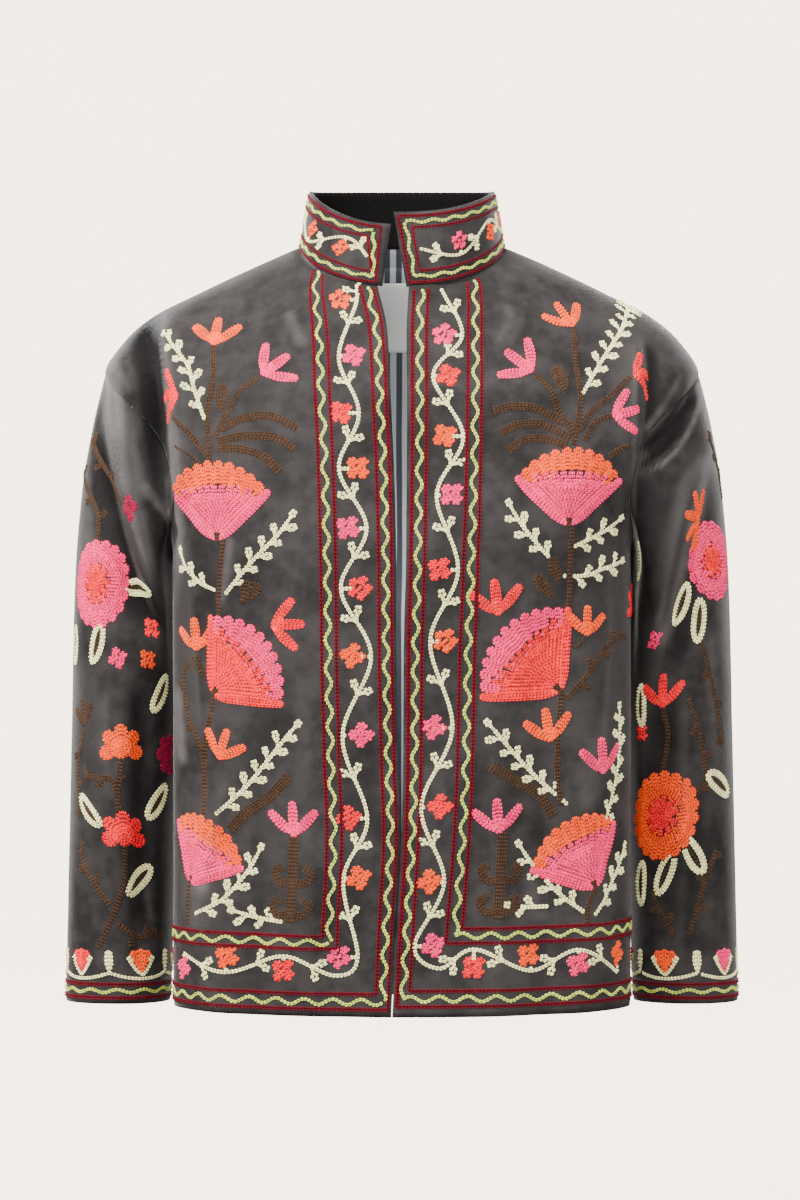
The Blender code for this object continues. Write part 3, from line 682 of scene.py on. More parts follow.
def column(table, number, at):
    """A column of a table as a smooth curve that doesn't overshoot, read at values of its first column."""
    rows = np.array(table, float)
    knots, values = rows[:, 0], rows[:, number]
    steps = np.diff(knots)
    rises = np.diff(values) / steps
    before, after = rises[:-1], rises[1:]
    same_way = before * after > 0
    middle = np.where(same_way, 2 * before * after / np.where(same_way, before + after, 1), 0)
    slopes = np.concatenate([rises[:1], middle, rises[-1:]])
    k = np.clip(np.searchsorted(knots, at, side="right") - 1, 0, len(steps) - 1)
    s = (at - knots[k]) / steps[k]
    return (
        (1 + 2 * s) * (1 - s) ** 2 * values[k]
        + s * (1 - s) ** 2 * steps[k] * slopes[k]
        + s**2 * (3 - 2 * s) * values[k + 1]
        + s**2 * (s - 1) * steps[k] * slopes[k + 1]
    )


def eased(share):
    share = np.clip(share, 0, 1)
    return share * share * (3 - 2 * share)


def unit(vectors):
    return vectors / np.maximum(np.linalg.norm(vectors, axis=-1, keepdims=True), 1e-12)


def off_line(x, z, start_x, start_z, end_x, end_z, bow):
    """How far places lie past a bowed line's ends, how far on along it, from 0 to 1, and how far across."""
    run_x, run_z = end_x - start_x, end_z - start_z
    run = np.hypot(run_x, run_z)
    along = ((x - start_x) * run_x + (z - start_z) * run_z) / run**2
    on_line = np.clip(along, 0, 1)
    across = ((x - start_x) * run_z - (z - start_z) * run_x) / run - bow * 4 * on_line * (1 - on_line)
    return (along - on_line) * run, on_line, across


def fold_height(x, z, folds):
    """How far a table of folds lifts the cloth at places seen from the front or the back."""
    lift = np.zeros(np.shape(x))
    for *line, half_width, height in folds:
        past_end, _, across = off_line(x, z, *line)
        lift += height * np.exp(-(across**2 + (past_end / 2) ** 2) / half_width**2)
    return lift


def crease_height(x, z, creases):
    """The same for a table of creases, which are steeper on one side."""
    lift = np.zeros(np.shape(x))
    for *line, left_width, right_width, height in creases:
        past_end, on_line, across = off_line(x, z, *line)
        fade = np.exp(-((past_end / CREASE_ENDS_OVER) ** 2))
        fade = fade * eased(on_line / CREASE_GROWS_OVER) * eased((1 - on_line) / CREASE_FADES_OVER)
        lift += height * fade * np.exp(-((across / np.where(across < 0, left_width, right_width)) ** 2))
    return lift


def on_each_side(y, ahead, behind):
    """Values of the front, which fade out towards the back, and those of the back."""
    front, back = (FRONT_FOLDS_Y - y) / FOLDS_GROW_OVER, (y - BACK_FOLDS_Y) / FOLDS_GROW_OVER
    return eased(front) * ahead, eased(back) * behind


def side_lifts(points):
    """How far the folds and creases move points of the front out, and those of the back."""
    x, y, z = np.moveaxis(points, -1, 0)
    front = fold_height(x, z, FRONT_FOLDS) + crease_height(x, z, FRONT_CREASES)
    back = fold_height(x, z, BACK_FOLDS) + crease_height(x, z, BACK_CREASES)
    return on_each_side(y, front, back)


def brushed(points):
    """How much the strokes paint onto the velvet: up to 1 for a painted highlight and down to -1 for painted
    shade.
    """
    x, y, z = np.moveaxis(points, -1, 0)
    return sum(on_each_side(y, crease_height(x, z, FRONT_PAINTED_LIGHT), crease_height(x, z, BACK_PAINTED_LIGHT)))


def folded(points):
    """Points of the smooth form, moved out or in by the folds and creases of their side."""
    x, y, z = np.moveaxis(points, -1, 0)
    ahead, behind = side_lifts(points)
    drift = sum(h * np.sin(kx * x + kz * z + phase) for kx, kz, phase, h in UNEVENNESS)
    return np.stack([x, y - ahead + behind + drift, z], -1)


def ring(angle, half_width, middle_y, front_depth, back_depth, front_z, side_z, back_z, *squares_and_dip):
    """A rounded oval. The angle is 0 at the centre front, 90 at the wearer's left and 180 at the back."""
    front_square, back_square, dip = squares_and_dip
    angle = np.mod(angle + 180, 360) - 180
    turn = np.radians(np.abs(angle))
    ahead = np.abs(angle) < 90
    power = 2 / np.where(ahead, front_square, back_square)
    level = np.abs(np.cos(turn)) ** dip
    x = np.sign(angle) * half_width * np.abs(np.sin(turn)) ** power
    y = middle_y + np.where(ahead, -front_depth, back_depth) * np.abs(np.cos(turn)) ** power
    return np.stack([x, y, side_z + (np.where(ahead, front_z, back_z) - side_z) * level], -1)


def superoval_angle(x, half_width, square):
    """The angle at which the front of a ring has a given x."""
    return np.sign(x) * np.degrees(np.arcsin((np.abs(x) / half_width) ** (square / 2)))


def body_form(up, angle):
    return ring(angle, *(column(BODY_RINGS, k, up) for k in range(1, 11)))


def body(up, angle):
    return folded(body_form(up, angle))


def oval(round_, outer_x, outer_z, inner_x, inner_z, half_depth, middle_y):
    """A section of a sleeve."""
    turn = np.radians(round_)
    nil = 0 * turn
    middle = np.stack([(outer_x + inner_x) / 2 + nil, middle_y + nil, (outer_z + inner_z) / 2 + nil], -1)
    reach = np.stack([(outer_x - inner_x) / 2 + nil, nil, (outer_z - inner_z) / 2 + nil], -1)
    forward = np.stack([nil, -half_depth + nil, nil], -1)
    return middle + reach * np.cos(turn)[..., None] + forward * np.sin(turn)[..., None]


def armhole(round_):
    """How far up and at what angle the wearer's left armhole seam lies."""
    turned = np.mod(round_, 360)
    return column(ARMHOLE, 1, turned), column(ARMHOLE, 2, turned)


def clear_of_body(points, down):
    """Move a left sleeve's points out of the body's side, which bends softly round them."""
    x, y, z = np.moveaxis(points, -1, 0)
    up = np.interp(z, *([row[k] for row in BODY_RINGS[:4]] for k in (6, 0)))
    half_width, middle_y, front, back = (column(BODY_RINGS, k, up) for k in range(1, 5))
    behind = y > middle_y
    square = np.where(behind, column(BODY_RINGS, 9, up), column(BODY_RINGS, 8, up))
    along = np.clip(np.abs(y - middle_y) / np.where(behind, back, front), 0, 1)
    least = half_width * (1 - along**square) ** (1 / square) + SLEEVE_CLEARS_BODY
    short = least - x
    moved = (short + np.hypot(short, LEANS_SOFTLY_OVER)) / 2
    return np.stack([x + moved * eased(down / CLEARS_AFTER), y, z], -1)


def sleeve(side, down, round_):
    """A sleeve's outer face. Round runs from its outer line, 0, over its front to the underarm, 180."""
    hanging = oval(round_, *(column(SLEEVE_SECTIONS, k, down) for k in range(1, 7)))
    to_seam = body_form(*armhole(round_)) - oval(round_, *SLEEVE_SECTIONS[0][1:])
    kept = 1 - eased(down / ARMHOLE_FADE)
    return folded(clear_of_body(hanging + to_seam * kept[..., None], down) * (side, 1, 1))


def outward(surface, first, second, first_step, second_step):
    """Unit normals of a surface of two numbers, by small steps of both."""
    along = surface(first + first_step, second) - surface(first - first_step, second)
    across = surface(first, second + second_step) - surface(first, second - second_step)
    return unit(np.cross(across, along))


def body_normals(up, angle):
    return outward(body, np.clip(up, 0.001, 0.999), angle, 0.001, 0.2)


def sleeve_normals(side, down, round_):
    def surface(a, b):
        return sleeve(side, a, b)

    return side * outward(surface, np.clip(down, 0.002, 0.998), round_, 0.002, 0.5)


def armhole_normals(side, round_):
    """The way out that body and sleeve share along their seam, so that both walls end on one line."""
    up, angle = armhole(round_)
    return unit(body_normals(up, side * angle) + sleeve_normals(side, 0 * round_, round_))


def part_seam(line, normals, next_line):
    """Move one edge of a piece half the seam's gap away from its neighbour, within the cloth."""
    aside = np.cross(normals, unit(np.gradient(line, axis=0)))
    line += np.sign((aside * (next_line - line)).sum()) * SEAM_GAP / 2 * aside


def panel_rows():
    return np.concatenate(
        [
            np.linspace(0, ARMPIT_ROW, SIDE_ROWS)[:-1],
            np.linspace(ARMPIT_ROW, TIP_ROW, ARMHOLE_ROWS)[:-1],
            np.linspace(TIP_ROW, 1, SHOULDER_ROWS),
        ]
    )


def outer_line(rows, behind):
    """Where a panel's rows end on the wearer's left: up, angle, and the place round the armhole."""
    climbed = np.clip((rows - ARMPIT_ROW) / (TIP_ROW - ARMPIT_ROW), 0, 1)
    round_ = 180 + 180 * climbed if behind else 180 - 180 * climbed
    up, angle = armhole(round_)
    above, below = rows > TIP_ROW, rows < ARMPIT_ROW
    up = np.where(above, TIP_UP + (1 - TIP_UP) * (rows - TIP_ROW) / (1 - TIP_ROW), up)
    up = np.where(below, ARMPIT_UP * rows / ARMPIT_ROW, up)
    angle = np.where(above, SHOULDER_SEAM_ANGLE, np.where(below, SIDE_SEAM_ANGLE, angle))
    return up, angle, round_


def seam_the_side(points, normals, side, behind, outer, beside):
    """Give a panel's outer column its seams: the side seam, the armhole and the shoulder seam."""
    rows = panel_rows()
    on_armhole = slice(SIDE_ROWS - 1, SIDE_ROWS + ARMHOLE_ROWS - 1)
    round_ = outer_line(rows, behind)[2]
    normals[on_armhole, outer] = armhole_normals(side, round_[on_armhole])
    seams = slice(0, SIDE_ROWS), on_armhole, slice(SIDE_ROWS + ARMHOLE_ROWS - 2, len(rows))
    lines = points[:, outer].copy(), points[:, beside].copy()
    for seam in seams:
        moved = lines[0][seam].copy()
        part_seam(moved, normals[seam, outer], lines[1][seam])
        points[seam, outer] += moved - lines[0][seam]


def front_panel(side):
    """One front, from its free edge to the side seam, the armhole and the shoulder seam."""
    rows = panel_rows()
    centre_up = column(CENTRE_LINE, 1, rows)
    outer_up, outer_angle, _ = outer_line(rows, behind=False)
    edge_x = column(FRONT_EDGES, 2 if side > 0 else 1, rows)
    half_width, square = column(BODY_RINGS, 1, centre_up), column(BODY_RINGS, 8, centre_up)
    edge_angle = superoval_angle(edge_x, half_width, square)
    across = np.linspace(0, 1, FRONT_COLUMNS)
    up = centre_up[:, None] + (outer_up - centre_up)[:, None] * across**2
    angle = edge_angle[:, None] + (side * outer_angle - edge_angle)[:, None] * across
    points, normals = body(up, angle), body_normals(up, angle)
    seam_the_side(points, normals, side, False, -1, -2)
    return points, normals


def back_panel():
    """The back, from the wearer's right side seam to the left one."""
    rows = panel_rows()
    centre_up = column(CENTRE_LINE, 1, rows)
    outer_up, outer_angle, _ = outer_line(rows, behind=True)
    across = np.linspace(-1, 1, BACK_COLUMNS)
    up = centre_up[:, None] + (outer_up - centre_up)[:, None] * across**2
    angle = 180 + (outer_angle - 180)[:, None] * np.abs(across)
    angle = np.where(across < 0, -angle, angle)
    points, normals = body(up, angle), body_normals(up, angle)
    seam_the_side(points, normals, -1, True, 0, 1)
    seam_the_side(points, normals, 1, True, -1, -2)
    return points, normals


def sleeve_tube(side):
    """One sleeve, from the armhole to the cuff, rolled round to its seam under the arm."""
    down = np.linspace(0, 1, SLEEVE_ROWS)[:, None]
    round_ = np.linspace(180, 540, SLEEVE_COLUMNS)[None, :]
    down, round_ = np.broadcast_arrays(down, round_)
    points, normals = sleeve(side, down, round_), sleeve_normals(side, down, round_)
    normals[0] = armhole_normals(side, round_[0])
    smooth = points.copy()
    part_seam(points[0], normals[0], smooth[1])
    for edge, beside in ((0, 1), (-1, -2)):
        moved = smooth[:, edge].copy()
        part_seam(moved, normals[:, edge], smooth[:, beside])
        points[:, edge] += moved - smooth[:, edge]
    return points, normals


def collar_band():
    """The standing collar, from its left front end round the back of the neck to its right front end."""
    high = np.linspace(0, 1, COLLAR_ROWS)[:, None]
    ends = [np.interp(high, (0, 1), x) for x in (COLLAR_LEFT_ENDS_X, COLLAR_RIGHT_ENDS_X)]
    neck_width, neck_square = BODY_RINGS[-1][1], BODY_RINGS[-1][8]
    width = neck_width + (COLLAR_HALF_WIDTH - neck_width) * high
    start, stop = (superoval_angle(x, width, neck_square) for x in ends)
    angle = start + (360 + stop - start) * np.linspace(0, 1, COLLAR_COLUMNS)
    angle = np.where(angle > 180, angle - 360, angle)
    foot = ring(angle, *BODY_RINGS[-1][1:])
    at_left = np.arange(COLLAR_COLUMNS) < COLLAR_COLUMNS / 2
    top_front_z = np.where(at_left, COLLAR_LEFT_Z, COLLAR_RIGHT_Z)
    top_shape = COLLAR_FRONT_DEPTH, COLLAR_BACK_DEPTH, top_front_z, COLLAR_SIDE_Z, COLLAR_BACK_Z
    squares = BODY_RINGS[-1][8:10]
    top = ring(angle, COLLAR_HALF_WIDTH, COLLAR_MIDDLE_Y, *top_shape, *squares, COLLAR_DIP_POWER)
    points = foot + (top - foot) * high[..., None] + (0, 0, COLLAR_SEAT)
    level = unit(np.gradient(points, axis=1) * (1, 1, 0))
    return points, np.stack([level[..., 1], -level[..., 0], 0 * level[..., 0]], -1)


def shell_faces(rows, columns, flip):
    """Quads of a closed shell's outer grid, its inner grid and its rim, by vertex number."""
    cell = np.arange(rows * columns).reshape(rows, columns)
    a, b, c, d = cell[:-1, :-1], cell[:-1, 1:], cell[1:, 1:], cell[1:, :-1]
    outer = np.stack([a, b, c, d], -1).reshape(-1, 4)
    loop = np.concatenate([cell[0, :-1], cell[:-1, -1], cell[-1, :0:-1], cell[:0:-1, 0]])
    after = np.roll(loop, -1)
    depth = rows * columns
    rim = np.stack([after, loop, loop + depth, after + depth], -1)
    inner = outer[:, ::-1] + depth
    faces = np.concatenate([outer, rim, inner])
    lined = np.concatenate([np.zeros(len(outer) + len(rim), int), np.ones(len(inner), int)])
    return (faces[:, ::-1] if flip else faces), lined


def mesh_object(name, vertices, faces, materials, material_of_face=None, flat=None):
    """A mesh object that rides on the root, with its faces given as rows of vertex numbers."""
    data = bpy.data.meshes.new(name)
    sides = faces.shape[1]
    data.vertices.add(len(vertices))
    data.vertices.foreach_set("co", vertices.astype(np.float32).ravel())
    data.loops.add(faces.size)
    data.loops.foreach_set("vertex_index", faces.astype(np.int32).ravel())
    data.polygons.add(len(faces))
    data.polygons.foreach_set("loop_start", np.arange(0, faces.size, sides, dtype=np.int32))
    for material in materials:
        data.materials.append(material)
    if material_of_face is not None:
        data.polygons.foreach_set("material_index", material_of_face.astype(np.int32))
    if flat is not None:
        layer = data.uv_layers.new(name="flat_cloth")
        layer.data.foreach_set("uv", flat[faces.ravel()].astype(np.float32).ravel())
    data.update(calc_edges=True)
    data.validate()
    data.shade_smooth()
    piece = bpy.data.objects.new(name, data)
    bpy.context.scene.collection.objects.link(piece)
    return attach(piece, "root")


def arc_lengths(points, axis):
    steps = np.linalg.norm(np.diff(points, axis=axis), axis=-1)
    start = np.zeros_like(np.take(steps, [0], axis))
    return np.cumsum(np.concatenate([start, steps], axis), axis)


def shell(name, points, normals, thickness, materials, across):
    """A closed shell on a grid of outer points, pressed thinner at its edges."""
    kept = np.full(points.shape[:2] + (1,), PRESSED_EDGE)
    kept[1:-1, 1:-1] = 1
    outer = points - thickness * (1 - kept) / 2 * normals
    inner = points - thickness * (1 + kept) / 2 * normals
    facing = np.cross(points[1:, :-1] - points[:-1, :-1], points[:-1, 1:] - points[:-1, :-1])
    flip = (facing * normals[:-1, :-1]).sum() > 0
    faces, lined = shell_faces(*points.shape[:2], flip)
    flat = np.stack([across, arc_lengths(points, 0)], -1).reshape(-1, 2)
    vertices = np.concatenate([outer.reshape(-1, 3), inner.reshape(-1, 3)])
    piece = mesh_object(name, vertices, faces, materials, lined, np.concatenate([flat, flat]))
    # Each point keeps how far the folds raise it and the strength of the strokes, from which the velvet
    # paints its shade and highlights.
    for shade, values in (("raised", sum(side_lifts(points))), ("brushed", brushed(points))):
        layer = piece.data.attributes.new(shade, "FLOAT", "POINT")
        layer.data.foreach_set("value", np.tile(values.ravel(), 2).astype(np.float32))
    return piece


class Cloth:
    """A piece's outer face laid flat: u metres across, to the right of whoever looks at it, v metres up."""

    def __init__(self, points, normals, across):
        if across[0, 0] > across[0, -1]:
            points, normals, across = points[:, ::-1], normals[:, ::-1], across[:, ::-1]
        self.low_u = across.min()
        u = np.arange(self.low_u, across.max(), CLOTH_STEP)
        rows = []
        for line, facing, place in zip(points, normals, across):
            within = (u >= place[0]) & (u <= place[-1])
            spread = [np.interp(u, place, values) for values in (*line.T, *facing.T)]
            rows.append(np.stack([*spread, within], -1))
        rows = np.array(rows)
        climbed = arc_lengths(rows[..., :3], 0) + 1e-9 * np.arange(len(rows))[:, None]
        v = np.arange(0, climbed.max(), CLOTH_STEP)
        grid = np.zeros((len(v), len(u), ON_CLOTH + 1))
        for k in range(len(u)):
            for value in range(ON_CLOTH + 1):
                beyond = 0 if value == ON_CLOTH else None
                grid[:, k, value] = np.interp(v, climbed[:, k], rows[:, k, value], right=beyond)
        self.grid = grid
        self.height = climbed[-1]
        depth = grid[..., 1] - CAMERA[1]
        scale = LENS / SENSOR * PHOTO_HEIGHT
        self.seen_x = PHOTO_WIDTH / 2 + (grid[..., 0] - CAMERA[0]) * scale / depth
        self.seen_y = PHOTO_HEIGHT / 2 - (grid[..., 2] - CAMERA[2]) * scale / depth
        self.hidden = (grid[..., ON_CLOTH] < 0.5) | (grid[..., 4] > -0.05)

    def at(self, u, v):
        """Points, unit normals, and 1 where they lie on the cloth."""
        rows, columns = self.grid.shape[:2]
        i = np.clip(v / CLOTH_STEP, 0, rows - 1.001)
        j = np.clip((u - self.low_u) / CLOTH_STEP, 0, columns - 1.001)
        low_i, low_j = i.astype(int), j.astype(int)
        part_i, part_j = (i - low_i)[..., None], (j - low_j)[..., None]
        below = self.grid[low_i, low_j] * (1 - part_j) + self.grid[low_i, low_j + 1] * part_j
        above = self.grid[low_i + 1, low_j] * (1 - part_j) + self.grid[low_i + 1, low_j + 1] * part_j
        found = below * (1 - part_i) + above * part_i
        return found[..., :3], unit(found[..., 3:6]), found[..., ON_CLOTH]

    def under(self, seen):
        """Where on the cloth the given places of the photo's frame lie."""
        spots = []
        for x, y in np.reshape(seen, (-1, 2)):
            away = (self.seen_x - x) ** 2 + (self.seen_y - y) ** 2 + 1e6 * self.hidden
            i, j = np.unravel_index(np.argmin(away), away.shape)
            spots.append((self.low_u + j * CLOTH_STEP, i * CLOTH_STEP))
        return np.array(spots)


@functools.cache
def surface(name):
    """Outer points, normals and u of a named piece."""
    if name in ("front_right", "front_left"):
        side = 1 if name == "front_left" else -1
        points, normals = front_panel(side)
        return points, normals, side * arc_lengths(points, 1)
    if name == "back":
        points, normals = back_panel()
        along = arc_lengths(points, 1)
        return points, normals, along[:, [along.shape[1] // 2]] - along
    if name == "collar":
        points, normals = collar_band()
        return points, normals, arc_lengths(points, 1)
    side = 1 if name == "sleeve_left" else -1
    points, normals = (grid[::-1] for grid in sleeve_tube(side))
    along = arc_lengths(points, 1)
    return points, normals, -side * (along - along[:, [along.shape[1] // 2]])


@functools.cache
def cloth(name):
    return Cloth(*surface(name))


class Embroidery:
    """Rows of chain stitch on one piece of cloth, kept by colour until they are made. What is sewn first
    stays on top: a later patch leaves out the links that would lie on an earlier one."""

    def __init__(self, name, settings):
        self.name, self.cloth = name, cloth(name)
        self.length, self.width = settings.stitch_length, settings.stitch_width
        self.height = settings.stitch_height
        self.links = {}
        cells = [int(n * CLOTH_STEP / PATCH_CELL) for n in self.cloth.grid.shape[:2]]
        rows, columns = (n + 2 * PATCH_MARGIN + 2 for n in cells)
        self.taken, self.middles = np.zeros((rows, columns), int), np.zeros((rows, columns), int)
        self.patch = 1

    def new_patch(self):
        self.patch += 1

    def row(self, colour, path, width=1.0):
        """One row of links along a path of points on the flat cloth."""
        path = np.asarray(path, float)
        reach = arc_lengths(path, 0)
        count = max(1, round(reach[-1] / self.length))
        middles = (np.arange(count) + 0.5) * reach[-1] / count
        ahead, behind = (np.clip(middles + s * self.length / 4, 0, reach[-1]) for s in (1, -1))
        spots = point_at(path, reach, middles)
        way = point_at(path, reach, ahead) - point_at(path, reach, behind)
        links = np.hstack([spots, unit(way), np.full((count, 1), width)])
        free = [self.claim(*spot) for spot in spots]
        if any(free):
            self.links.setdefault(colour, []).append(links[free])

    def claim(self, u, v):
        """Whether a link may lie here, which it then takes up."""
        rows, columns = self.taken.shape
        i = int(np.clip(v / PATCH_CELL + PATCH_MARGIN, 2, rows - PATCH_MARGIN))
        j = int(np.clip((u - self.cloth.low_u) / PATCH_CELL + PATCH_MARGIN, 2, columns - PATCH_MARGIN))
        if self.taken[i, j] not in (0, self.patch) or self.middles[i, j] == self.patch:
            return False
        around = self.taken[i - 1 : i + 2, j - 1 : j + 2]
        around[around == 0] = self.patch
        self.middles[i, j] = self.patch
        return True

    def make(self):
        """One piece for each colour, with every link bent to the cloth under it."""
        made = []
        for colour, rows in sorted(self.links.items()):
            links = np.concatenate(rows)
            links = links[self.cloth.at(links[:, 0], links[:, 1])[2] > 0.99]
            vertices, triangles, shaded = [], [], []
            for corners, faces, hand in LINK:
                shape, faces = np.array(corners), np.array(faces)
                along = shape[:, 0] * self.length
                across = hand * shape[:, 1] * self.width * links[:, 4:5]
                u = links[:, 0:1] + along * links[:, 2:3] - across * links[:, 3:4]
                v = links[:, 1:2] + along * links[:, 3:4] + across * links[:, 2:3]
                points, normals, _ = self.cloth.at(u, v)
                uneven = 1 + STITCH_UNEVENNESS * np.sin(7919 * links[:, :1] + 6007 * links[:, 1:2] + hand)
                lift = shape[:, 2] * self.height * uneven
                start = sum(len(block) for block in vertices)
                vertices.append((points + lift[..., None] * normals).reshape(-1, 3))
                numbers = start + len(shape) * np.arange(len(links))[:, None, None]
                triangles.append((numbers + (faces if hand > 0 else faces[:, ::-1])).reshape(-1, 3))
                shaded.append(np.full(len(triangles[-1]), int(corners is CORD)))
            name = colour + "_stitches_on_" + self.name
            # The cord between the grains takes the darker wool: painted shade between the loops.
            made_of = [wool(colour), wool(colour, in_painted_shade=True)]
            blocks = np.concatenate(vertices), np.concatenate(triangles)
            piece = mesh_object(name, *blocks, made_of, np.concatenate(shaded))
            made.append((piece, ("wine" if colour == "crimson" else colour) + "_wool")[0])
        return made


def point_at(path, reach, places):
    """Points of a path at lengths along it."""
    return np.stack([np.interp(places, reach, path[:, k]) for k in (0, 1)], -1)


def smooth(points, each=10):
    """A curve through points."""
    points = np.asarray(points, float)
    ends = np.concatenate([[2 * points[0] - points[1]], points, [2 * points[-1] - points[-2]]])
    a, b, c, d = (ends[k : len(ends) - 3 + k, None] for k in range(4))
    t = np.linspace(0, 1, each, endpoint=False)[:, None]
    curve = b + (c - a) / 2 * t + (a - 2.5 * b + 2 * c - d / 2) * t**2
    curve = curve + (1.5 * (b - c) + (d - a) / 2) * t**3
    return np.concatenate([curve.reshape(-1, 2), points[-1:]])


def beside(path, offset):
    """A path moved to its left."""
    way = unit(np.gradient(path, axis=0))
    return path + np.stack([-way[:, 1], way[:, 0]], -1) * np.reshape(offset, (-1, 1))


def heading(turn):
    return np.array([math.cos(math.radians(turn)), math.sin(math.radians(turn))])


def left_of(way):
    return np.array([-way[1], way[0]])


def turn_of(way):
    return math.degrees(math.atan2(way[1], way[0]))


def petal(sewn, colour, foot, turn, length, width, narrow=0.45):
    """A petal or leaf with a round tip, filled by rows that spread from its foot."""
    rows = max(1, round(width / ROW_SPACING))
    way = heading(turn)
    left = left_of(way)
    offsets = (np.arange(rows) - (rows - 1) / 2) * width / rows
    for offset in sorted(offsets, key=abs):
        end = length - width / 2 + math.sqrt(max(width**2 / 4 - offset**2, 0)) - TIP_INSET
        along = np.linspace(0, 1, 12)[:, None] * end
        near_tip = np.clip((along / length - 0.55) / 0.45, 0, 1)
        spread = eased(along / (narrow * length)) * (1 - TIP_TAPER * near_tip**2)
        sewn.row(colour, foot + way * along + left * offset * spread)


def ellipse(middle, turn, half_length, half_width, count=26):
    angle = np.linspace(0, 2 * np.pi, count)[:, None]
    way = heading(turn)
    left = left_of(way)
    return middle + half_length * np.cos(angle) * way + half_width * np.sin(angle) * left


def club(sewn, colour, foot, turn, length):
    """A leaf with a thin stalk and a round end."""
    way = heading(turn)
    sewn.row(colour, line_of(foot, foot + 0.42 * length * way, 4), 0.9)
    sewn.row(colour, ellipse(foot + 0.66 * length * way, turn, 0.245 * length, 0.135 * length, 18))


def disc(sewn, colour, middle, radius):
    """A round patch, filled by one row that winds in."""
    turns = max(radius / ROW_SPACING, 0.6)
    t = np.linspace(0, 1, int(14 * turns) + 8)[:, None]
    angle = 2 * np.pi * turns * t
    spiral = np.hstack([np.cos(angle), np.sin(angle)]) * (radius - ROW_SPACING / 2) * (1 - t)
    sewn.row(colour, middle + spiral)


def tulip(sewn, foot, turn, size, colour):
    """Three petals on a small cup."""
    sewn.new_patch()
    for lean, reach in ((0, 0.98), (-45, 1.0), (45, 1.0)):
        petal(sewn, colour, foot, turn + lean, size * reach, size * 0.29)
    disc(sewn, colour, foot + 0.20 * size * heading(turn), size * 0.24)


def four_petals(sewn, middle, turn, size, colour):
    """A small flower of four or five round petals."""
    sewn.new_patch()
    petals = 5 if round(turn) % 5 == 1 else 4
    for k in range(petals):
        reach, radius = (0.255, 0.235) if petals == 4 else (0.275, 0.205)
        disc(sewn, colour, middle + reach * size * heading(turn + 360 * k / petals), radius * size)
    disc(sewn, colour, middle, 0.12 * size)


def star(sewn, middle, turn, size, colour):
    """Five slender petals on one side of their foot."""
    sewn.new_patch()
    for lean in (0, -42, 42, -84, 84):
        petal(sewn, colour, middle, turn + lean, size * (1 - abs(lean) / 700), size * 0.27, narrow=0.5)


def fan(sewn, foot, turn, size, colour, second):
    """A fan shaped flower: one colour spreads from its notched foot, under round lobes of another."""
    sewn.new_patch()
    petal(sewn, "brown", foot, turn, 0.14 * size, FAN_NOTCH)
    sewn.new_patch()
    for hand in (-1, 1):
        petal(sewn, second, foot, turn + hand * (FAN_SPREAD + 1), 0.94 * size, FAN_EDGE, narrow=0.25)
    for radius in np.arange(0.06 * size, 0.78 * size, ROW_SPACING):
        clear = math.sqrt(max(0, (radius / size - 0.57) / 0.20))
        for hand in (-1, 1) if clear else (0,):
            share = np.linspace(clear, 1, 12) * hand if clear else np.linspace(-1, 1, 18)
            angles = np.radians(turn + FAN_SPREAD * share)
            sewn.row(second, foot + radius * np.stack([np.cos(angles), np.sin(angles)], -1))
    lobes = max(5, round(2 * math.radians(FAN_SPREAD) * 0.84 * size / FAN_EDGE))
    leans = 0.94 * (2 * (np.arange(lobes) + 0.5) / lobes - 1)
    for lean in leans[:-1] + np.diff(leans) / 2:
        start, toward = 0.46 + 0.20 * lean**2, turn + lean * FAN_SPREAD
        petal(sewn, second, foot + start * size * heading(toward), toward, 0.24 * size, FAN_RIB)
    sewn.new_patch()
    for lean in leans:
        start, stop = 0.56 + 0.20 * lean**2, 1.0 - 0.08 * lean**2
        toward = turn + lean * FAN_SPREAD
        low = foot + start * size * heading(toward)
        petal(sewn, colour, low, toward, (stop - start) * size, FAN_LOBE, narrow=0.3)


def round_flower(sewn, middle, turn, size, colour, second):
    """A large round flower: a lobed eye inside arcs and a rim of lobes."""
    sewn.new_patch()
    disc(sewn, second, middle, 0.34 * size)
    for k in range(EYE_LOBES):
        lean = turn + 360 // EYE_LOBES * k
        petal(sewn, second, middle + 0.24 * size * heading(lean), lean, 0.24 * size, EYE_LOBE)
    sewn.new_patch()
    circle = np.radians(np.linspace(0, 360, 40))
    ring_way = np.stack([np.cos(circle), np.sin(circle)], -1)
    for radius in np.arange(0.36 * size, 0.70 * size, ROW_SPACING):
        sewn.row(colour, middle + radius * ring_way)
    lobes = round(2 * np.pi * 0.8 * size / RIM_LOBE_EVERY)
    for k in range(lobes):
        lean = turn + 360 * k / lobes
        petal(sewn, colour, middle + 0.60 * size * heading(lean), lean, 0.42 * size, RIM_LOBE, narrow=0.3)


def half_flower(sewn, foot, turn, size, colour, second=None):
    """Five round petals round an eye, open at the foot."""
    sewn.new_patch()
    eye = foot + 0.26 * size * heading(turn)
    disc(sewn, second or colour, eye, 0.34 * size)
    for lean in (0, -52, 52, -104, 104):
        start = eye + 0.06 * size * heading(turn + lean)
        petal(sewn, colour, start, turn + lean, 0.68 * size, 0.42 * size, narrow=0.55)


def slit_leaf(sewn, middle, turn, size, colour):
    """An oval leaf with a dark slit."""
    sewn.new_patch()
    half_length, half_width = 0.70 * size, 0.29 * size
    for inset in (SLIT_LEAF_INSET, SLIT_LEAF_INSET + ROW_SPACING):
        sewn.row(colour, ellipse(middle, turn, half_length - inset, half_width - inset, 40), 1.1)
    slit = line_of(middle - 0.40 * size * heading(turn), middle + 0.40 * size * heading(turn))
    sewn.row("brown", slit, 0.85)


def one_petal(sewn, foot, turn, size, colour):
    sewn.new_patch()
    petal(sewn, colour, foot, turn, size, size * 0.42)


